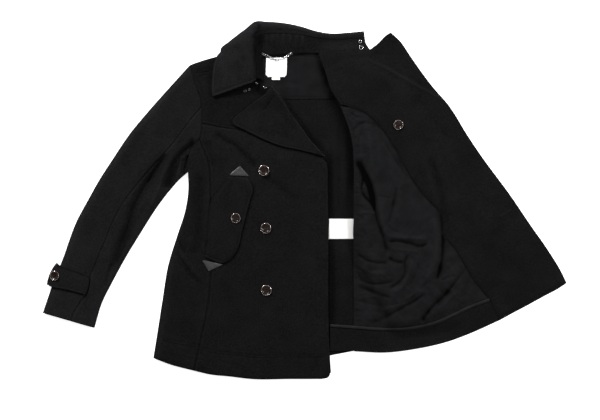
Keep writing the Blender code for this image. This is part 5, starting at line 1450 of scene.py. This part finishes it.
stitches("lapel_topstitching", beside(chain(LAPEL_SIDE, LAPEL_TIP, LAPEL_TOP), EDGE_STITCH, 0.03,
                                      0.97), top_of(facing), black_thread)
stitches("flap_topstitching",
         beside(chain(FLAP_SEAM), -SEAM_STITCHES[0], 0.02, 0.98)
         + beside(chain(FLAP_EDGE), EDGE_STITCH, 0.03, 0.97)
         + beside(chain(FLAP_TOP), EDGE_STITCH, 0.1, 0.9)
         + beside(chain(FLAP_END), -EDGE_STITCH, 0.1, 0.9), top_of(flap), black_thread)
stitches("strap_topstitching",
         row_of(strap_line(0.09)[8:-2, :2]) + row_of(strap_line(0.91)[8:-2, :2]), top_of(tab),
         black_thread)

leaf_line = chain([FALL_ROWS[0][3:5], FALL_ROWS[0][6:8]], [row[6:8] for row in FALL_ROWS[:6]])
stitches("collar_topstitching", row_of(moved(leaf_line, EDGE_STITCH)), top_of(collar),
         black_thread)

drop_open = top_of(left_facing)
stitches("facing_topstitching",
         beside(chain(OPEN_LAPEL, OPEN_EDGE), EDGE_STITCH, 0.03, 0.985)
         + beside(chain(OPEN_HEM), -EDGE_STITCH, 0.02, 0.97)
         + beside(chain(FACING_SEAM), -2.6, 0.01, 0.99), drop_open, black_thread)
stitches("neck_lining_stitching",
         row_of(np.array([(-108, 246), (100, 246)], float))
         + row_of(np.array([(-108, 250), (98, 250)], float)), top_of(neck_lining), black_thread,
         0.5)
stitches("hem_stitching", row_of(moved(top_line, -1.4), 2.4, 1.6), top_of(hem_tape),
         black_thread, 0.5)

BUTTONHOLES = [
    # middle x, y    towards x, y    on the
    (8, 73,           1, 0,          front),
    (15, 30,          1, 0.1,        front),
    (325, 200,       0.86, 0.5,      left_facing),
    (404, 85,        0.86, 0.5,      left_facing),
    (480, -30,       0.86, 0.5,      left_facing),
]
HOLE_LONG = 24
HOLE_STITCH = (0.5, 2.4)
HOLE_SPACING = 0.95


def buttonhole(x, y, toward):
    """Close stitches square to a slit, all round it."""
    toward = np.array(toward, float) / np.linalg.norm(toward)
    aside = np.array((-toward[1], toward[0]))
    rays = [(toward * at, aside * side)
            for at in np.arange(-HOLE_LONG / 2, HOLE_LONG / 2, HOLE_SPACING) for side in (-1, 1)]
    rays += [(toward * end * HOLE_LONG / 2, toward * end * np.cos(angle) + aside * np.sin(angle))
             for angle in np.radians(np.arange(-75, 90, 30)) for end in (-1, 1)]
    return [[np.array((x, y)) + spot + ray * out for out in HOLE_STITCH] for spot, ray in rays]


hole_thread = thread("buttonhole_thread", 0.0085)
for name, cloth, drop in (("front_buttonholes", front, drop_front),
                          ("facing_buttonholes", left_facing, drop_open)):
    runs = [run for x, y, tx, ty, on in BUTTONHOLES if on is cloth
            for run in buttonhole(x, y, (tx, ty))]
    stitches(name, runs, drop, hole_thread, 0.85, 0.0)
# The slits are strips of very dark thread laid along each buttonhole: painted shadow in the slit.
slits = []
for x, y, tx, ty, _ in BUTTONHOLES:
    half = np.array((tx, ty)) / np.hypot(tx, ty) * HOLE_LONG / 2
    slits.append((np.array((x, y)) - half, np.array((x, y)) + half))
stitches("buttonhole_slits", slits, top_of(front, left_facing), thread("slit_shadow", 0.003, 0.95),
         0.7, 0.1)

# ---------------------------------------------------------------------------------- buttons
# Dark brown horn buttons, turned with a dished middle and four holes, each with a thin pale
# bronze ring pressed round its edge. They are sewn on through the holes with a short shank.
BUTTON_WIDTH = 26
FRONT_BUTTON, SMALL_BUTTON = 24.6, 22.6
BUTTON_THICK = 4.2
BUTTON_STAND_OFF = 0.5
HOLE_AT = 2.4
STRAND, STRAND_REACH = 0.32, 2.6
SEAT_SHARE = 0.42
BUTTON_TURNING = [
    # step in, step up
    (1.5, 0), (0.5, 0.9), (1.5, 0.2), (1.3, -0.9), (1.2, -0.5), (3.0, -0.05),
]
BUTTONS = [
    # name                  x     y    width
    ("front_button_upper", -98,   72, FRONT_BUTTON),
    ("front_button_middle", -93, -66, FRONT_BUTTON),
    ("front_button_lower", -92, -215, FRONT_BUTTON),
    ("pocket_button",      -165, -42, SMALL_BUTTON),
    ("inner_button",        224, 181, SMALL_BUTTON),
]


def horn(name):
    """Polished dark horn with streaks of warmer brown."""
    material, nodes, links = finish(name, {"Roughness": 0.25, "Specular IOR Level": 0.16})
    stretch = nodes.new("ShaderNodeMapping")
    stretch.inputs["Rotation"].default_value = (0, 0, 0.5)
    stretch.inputs["Scale"].default_value = (60, 320, 60)
    links.new(on_piece(nodes), stretch.inputs["Vector"])
    streak = pattern(nodes, links, "Noise", stretch.outputs["Vector"], Scale=1.2,
                     Detail=5).outputs["Fac"]
    dye(nodes, links, streak, (0.38, (0.004, 0.0028, 0.0025)), (0.72, (0.026, 0.014, 0.01)))
    emboss(nodes, links, streak, 0.15, 0.0002)
    return material


def brushed_metal(name, dark, light, rough):
    """Plated metal, a little uneven and scuffed."""
    material, nodes, links = finish(name, {"Metallic": 1.0, "Roughness": rough})
    cloud = pattern(nodes, links, "Noise", on_piece(nodes), Scale=700, Detail=4).outputs["Fac"]
    dye(nodes, links, cloud, (0.35, dark), (0.65, light))
    emboss(nodes, links, cloud, 0.2, 0.0001)
    return material


def pick_faces(piece, keep):
    """Select the faces of a mesh in edit mode whose middle and normal pass a test."""
    bpy.ops.object.mode_set(mode="OBJECT")
    for part in (piece.data.vertices, piece.data.edges, piece.data.polygons):
        part.foreach_set("select", [False] * len(part))
    for face in piece.data.polygons:
        face.select = bool(keep(face.center, face.normal))
    bpy.ops.object.mode_set(mode="EDIT")
    bpy.ops.mesh.select_mode(type="FACE")


def turned_button():
    """One button of 26 mm, lying on z = 0: a turned disc with a dish and four holes."""
    top = BUTTON_THICK * 0.7 * MM
    bpy.ops.object.select_all(action="DESELECT")
    bpy.ops.mesh.primitive_cylinder_add(vertices=48, radius=BUTTON_WIDTH / 2 * MM, depth=top,
                                        location=(0, 0, top / 2))
    button = bpy.context.object
    bpy.ops.object.transform_apply(location=True, rotation=True, scale=True)
    pick_faces(button, lambda middle, normal: normal.z > 0.9)
    for inset, rise in BUTTON_TURNING:
        bpy.ops.mesh.inset(thickness=inset * MM, depth=rise * MM)
    pick_faces(button, lambda middle, normal: normal.z < -0.9)
    bpy.ops.mesh.inset(thickness=2.6 * MM, depth=0)
    bpy.ops.object.mode_set(mode="OBJECT")
    for x, y in ((HOLE_AT, HOLE_AT), (-HOLE_AT, HOLE_AT), (-HOLE_AT, -HOLE_AT),
                 (HOLE_AT, -HOLE_AT)):
        bpy.ops.mesh.primitive_cylinder_add(vertices=16, radius=1.0 * MM, depth=4 * top,
                                            location=(x * MM, y * MM, 0))
        drill = bpy.context.object
        hole = button.modifiers.new("hole", "BOOLEAN")
        hole.operation = "DIFFERENCE"
        hole.object = drill
        bpy.context.view_layer.objects.active = button
        bpy.ops.object.modifier_apply(modifier="hole")
        bpy.data.objects.remove(drill, do_unlink=True)
    soften(button, 0.22, 32)
    bpy.context.view_layer.objects.active = button
    bpy.ops.object.modifier_apply(modifier="soft edge")
    bpy.ops.object.select_all(action="DESELECT")
    button.select_set(True)
    bpy.ops.object.shade_smooth_by_angle(angle=np.radians(40))
    button.select_set(False)
    return button


def rim_ring():
    """The bronze ring round the edge."""
    bpy.ops.object.select_all(action="DESELECT")
    bpy.ops.mesh.primitive_torus_add(major_segments=48, minor_segments=8,
                                     major_radius=(BUTTON_WIDTH / 2 - 0.5) * MM,
                                     minor_radius=0.55 * MM,
                                     location=(0, 0, BUTTON_THICK * 0.62 * MM))
    ring = bpy.context.object
    bpy.ops.object.transform_apply(location=True, rotation=True, scale=True)
    bpy.ops.object.shade_smooth()
    ring.select_set(False)
    return ring


def lean(direction):
    """A rotation that turns +Z to a direction."""
    return Vector((0, 0, 1)).rotation_difference(Vector(direction)).to_matrix().to_4x4()


def seat(x, y, width, drop, clear):
    """Where a round thing lies: level with three places on the cloth, clear of the highest."""
    r = width * SEAT_SHARE
    probes = [drop(x + a, y + b) for a, b in ((0, 0), (3, 0), (-3, 0), (0, 3), (0, -3))]
    level = max(hit[0].z for hit in probes if hit)

    def ground(a, out):
        spot = (x + out * np.cos(a), y + out * np.sin(a))
        hit = drop(*spot)
        return hit[0] if hit else Vector((*spot, level))

    around = [ground(a, r) for a in np.radians((90, 210, 330))]
    normal = (around[1] - around[0]).cross(around[2] - around[0]).normalized()
    middle = sum(around, Vector()) / 3
    rise = 0
    for a in np.radians(np.arange(0, 360, 30)):
        for share in (0.0, 0.5, 1.0):
            rise = max(rise, (ground(a, r * share) - middle).dot(normal))
    return Matrix.Translation((middle + normal * (rise + clear)) * MM) @ lean(normal)


def copy_at(name, source, place, material):
    """A copy of a model with a mesh of its own, set in its place."""
    piece = bpy.data.objects.new(name, source.data.copy())
    piece.data.transform(place)
    piece.data.materials.clear()
    piece.data.materials.append(material)
    bpy.context.scene.collection.objects.link(piece)
    return piece


def join(name, pieces):
    """Several meshes made one piece."""
    bpy.ops.object.select_all(action="DESELECT")
    for piece in pieces:
        piece.select_set(True)
    bpy.context.view_layer.objects.active = pieces[0]
    bpy.ops.object.join()
    pieces[0].name = name
    pieces[0].select_set(False)
    return pieces[0]


brown_horn = horn("brown_horn")
bronze = brushed_metal("pale_bronze", (0.5, 0.41, 0.39), (0.86, 0.74, 0.7), 0.26)
button_model, ring_model = turned_button(), rim_ring()
drop_all = top_of(side_front, front, yoke, flap, facing, left_facing)
places = {name: seat(x, y, width, drop_all, BUTTON_STAND_OFF)
          @ Matrix.Scale(width / BUTTON_WIDTH, 4) for name, x, y, width in BUTTONS}
ring = strap_line(0.5, 3)
slope = Vector(ring[5] - ring[3]).normalized()
run = Vector(strap_line(0, 3)[4] - strap_line(1, 3)[4]).normalized()
outward = slope.cross(run)
outward = outward if outward.z > 0 else -outward
on_strap = Vector(ring[4]) + outward * (STRAP_WOOL / 2 + 0.6)
places["tab_button"] = (Matrix.Translation(on_strap * MM) @ lean(outward)
                        @ Matrix.Scale(SMALL_BUTTON / BUTTON_WIDTH, 4))
for name, place in places.items():
    disc = copy_at(name + "_disc", button_model, place, brown_horn)
    rim = copy_at(name + "_rim", ring_model, place, bronze)
    dress(join(name + "_horn", [disc, rim]), [name])
    spots, faces = [], []
    for y in [hole + aside for hole in (-HOLE_AT, HOLE_AT) for aside in (-0.45, 0.0, 0.45)]:
        start = len(spots)
        for x in np.linspace(-STRAND_REACH, STRAND_REACH, 7):
            lift = (BUTTON_THICK * 0.42 + 1.1 * np.cos(x / STRAND_REACH * np.pi / 2)
                    - 1.4 * (abs(x) > 2.5))
            spots += [place @ (Vector((x, y + STRAND * c, lift + STRAND * s)) * MM)
                      for c, s in RING]
        for k in range(6):
            for n in range(6):
                m = (n + 1) % 6
                faces.append((start + 6 * k + n, start + 6 * k + m,
                              start + 6 * k + 6 + m, start + 6 * k + 6 + n))
        faces += [range(start + 5, start - 1, -1), range(start + 36, start + 42)]
    mesh = bpy.data.meshes.new(name + "_thread")
    mesh.from_pydata(spots, [], faces)
    dress(set_out(name + "_thread", mesh, black_thread), [])
for model in (button_model, ring_model):
    bpy.data.objects.remove(model, do_unlink=True)

# ----------------------------------------------------------------------------------- labels
# Labels of white woven tape, all bare: one inside the neck with a small size tab under it, and
# a care label sewn down the side seam. Each is held by a row of stitches.
LABEL = 0.8
LABELS = [
    # name          left   right    top    bottom   round corners
    ("neck_label",  -93,   -43,     342,   296,     5),
    ("size_tab",    -79,   -59,     295.4, 289,     0.8),
    ("care_label",   58,   116.5,   -44,   -92,     0),
]


def woven_tape(name, colour):
    """Satin-faced label tape: fine ribs across, slightly darker between them."""
    material, nodes, links = finish(name, {"Roughness": 0.7})
    ribs = pattern(nodes, links, "Wave", on_threads(nodes), Scale=420, Distortion=0.4)
    ribs.bands_direction = "Y"
    dye(nodes, links, ribs.outputs["Fac"], (0, [0.8 * c for c in colour]), (1, colour))
    emboss(nodes, links, ribs.outputs["Fac"], 0.3, 0.0002)
    return material


white_tape = woven_tape("white_tape", (0.9, 0.89, 0.87))
made_labels = {}
drop_label = top_of(back, neck_lining)
for name, left, right, top, bottom, rounded in LABELS:
    u, v = np.meshgrid(steps(0, 1, 20), steps(0, 1, 18))
    x, y = left + (right - left) * u, top + (bottom - top) * v
    x = (x + 0.5 * np.sin(v * 4.2 + left)
         - rounded * (2 * u - 1) * ease((v - 0.82) / 0.18) ** 2)
    ground = np.array([[drop_label(a, b)[0].z for a, b in zip(*row)] for row in zip(x, y)])
    lift = (0.7 * ease((1 - np.abs(2 * u - 1)) * 2) * ease(v * 3)
            + 0.5 * swell(x, y, 18, 3.7) * ease(v * 3))
    z = ground + LABEL / 2 + SEAM + np.maximum(lift, 0)
    label = wall(name + "_tape", np.dstack([x, y, z]), LABEL, white_tape, 0.2)
    made_labels[name] = dress(label, [name])
stitches("label_stitching",
         row_of(np.array([(-91, 340), (-45, 340)], float), 2.4, 1.4)
         + row_of(np.array([(-91, 298), (-45, 298)], float), 2.4, 1.4)
         + row_of(np.array([(60.5, -46), (60.5, -90)], float), 2.2, 1.8),
         top_of(*made_labels.values()), thread("grey_thread", 0.18), 0.55)

# ------------------------------------------------------------- chain, rings, hook and eye
# The hanger is a short chain of oval links with a larger ring at each end. Two rings at the
# right end of the collar fasten it closed, with the hooks and eyes at its left end, of which
# the pair under the leaf is tarnished.
CHAIN = [(-98, 350), (-86, 345), (-69, 337), (-52, 341), (-35, 351)]
LINKS = 9
END_LINK, LINK = (13, 8.4, 1.3), (10.5, 5.4, 1.1)
LINK_ROLLS = (-58, 12)
LOOPS = [
    # name                  x      y   long  wide  wire  turned (degrees)
    ("collar_ring_upper",  132.6, 381, 8.6,  8.6, 1.8,     0),
    ("collar_ring_lower",  135.0, 366,  10,   10, 1.8,     0),
    ("neck_hook",         -115,   281,   7,    3, 1.0,   -32),
    ("neck_eye",           -96,   271.5, 7,    3, 1.0,   -34),
    ("leaf_hook",         -142.7, 262,   8,    5, 1.1,    20),
    ("leaf_eye",          -133,   265.5, 6.5,  4, 1.1,    75),
]


def oval_link(long, wide, wire, fine=28):
    """A closed oval of round wire, flat on z = 0."""
    bpy.ops.object.select_all(action="DESELECT")
    bpy.ops.mesh.primitive_torus_add(major_segments=fine, minor_segments=8,
                                     major_radius=(wide - wire) / 2 * MM,
                                     minor_radius=wire / 2 * MM)
    link = bpy.context.object
    half = (long - wide) / 2 * MM
    for spot in link.data.vertices:
        if abs(spot.co.x) > 1e-7:
            spot.co.x += half if spot.co.x > 0 else -half
    bpy.ops.object.shade_smooth()
    link.select_set(False)
    return link


nickel = brushed_metal("bright_nickel", (0.4, 0.4, 0.42), (0.72, 0.72, 0.74), 0.24)
tarnished = brushed_metal("tarnished_steel", (0.12, 0.12, 0.123), (0.3, 0.3, 0.31), 0.36)
drop_neck = top_of(stand, neck_lining, back, made_labels["neck_label"])
line = smooth(CHAIN)
parts = []
for k, share in enumerate(steps(0, 1, LINKS + 1)):
    long, wide, wire = END_LINK if k in (0, LINKS + 1) else LINK
    x, y = along(line, share)
    ahead = along(line, min(share + 0.02, 1)) - along(line, max(share - 0.02, 0))
    heading = Matrix.Rotation(np.arctan2(ahead[1], ahead[0]), 4, "Z")
    roll = np.radians(LINK_ROLLS[k % 2])
    rolled = Matrix.Rotation(roll, 4, "X")
    ground = max(drop_neck(x + a, y + b)[0].z
                 for a, b in ((0, 0), (4, 0), (-4, 0), (0, 3), (0, -3)))
    rise = (wide / 2) * abs(np.sin(roll)) + wire / 2 + 0.3
    place = Matrix.Translation(Vector((x, y, ground + rise)) * MM) @ heading @ rolled
    model = oval_link(long, wide, wire, 20)
    parts.append(copy_at("link", model, place, nickel))
    bpy.data.objects.remove(model, do_unlink=True)
dress(join("hanger_chain_links", parts), ["hanger_chain"])

drop_ends = top_of(stand, collar, left_facing, facing, yoke)
for name, x, y, long, wide, wire, turned in LOOPS:
    place = (seat(x, y, long, drop_ends, wire / 2 + 0.2)
             @ Matrix.Rotation(np.radians(turned), 4, "Z"))
    model = oval_link(long, wide, wire)
    loop = copy_at(name + "_wire", model, place, tarnished if "leaf" in name else nickel)
    bpy.data.objects.remove(model, do_unlink=True)
    dress(loop, [name])

# ------------------------------------------------------------------ floor, lights and camera
# A plain pale floor, which glows a little so that no shadow is hard, soft studio light from all
# round, and a camera straight above the middle of the coat.
CAMERA_HEIGHT = 5.0
MIDDLE = Vector((-11.4, -22.8, 0)) * MM

bpy.ops.object.select_all(action="DESELECT")
bpy.ops.mesh.primitive_plane_add(size=14, location=(0, 0, -0.0004))
floor = bpy.context.object
floor.name = "floor"
paper, nodes, links = finish("paper", {
    "Roughness": 0.9, "Specular IOR Level": 0.0, "Emission Color": (1, 1, 1, 1),
    "Emission Strength": 0.75})
cloud = pattern(nodes, links, "Noise", on_piece(nodes), Scale=40)
dye(nodes, links, cloud.outputs["Fac"], (0, [0.9] * 3), (1, [0.94] * 3))
floor.data.materials.append(paper)
floor.select_set(False)

LIGHTS = [
    # name        place (m)              power   size (m)
    ("key",      (-1.5, 2.3, 1.6),       150,    0.9),
    ("fill",     (2.5, 0.8, 1.7),         85,    1.0),
    ("low",      (-0.6, -2.8, 1.8),       14,    1.4),
    ("overhead", (0.2, 0.2, 4.6),         24,    3.0),
]
for name, spot, power, size in LIGHTS:
    lamp = bpy.data.lights.new(name, "AREA")
    lamp.energy = power
    lamp.size = size
    item = bpy.data.objects.new(name, lamp)
    item.location = spot
    item.rotation_euler = (MIDDLE - Vector(spot)).to_track_quat("-Z", "Y").to_euler()
    bpy.context.scene.collection.objects.link(item)

world = bpy.data.worlds.new("studio")
bpy.context.scene.world = world
world.use_nodes = True
world.node_tree.nodes["Background"].inputs["Color"].default_value = (1, 1, 1, 1)
world.node_tree.nodes["Background"].inputs["Strength"].default_value = 0.16
bpy.context.scene.view_settings.view_transform = "Standard"
bpy.context.scene.view_settings.look = "None"

lens = bpy.data.cameras.new("camera")
lens.lens = 125
lens.sensor_width = 36
lens.clip_end = 50
camera = bpy.data.objects.new("camera", lens)
camera.location = MIDDLE + Vector((0, 0, CAMERA_HEIGHT))
bpy.context.scene.collection.objects.link(camera)
bpy.context.scene.camera = camera
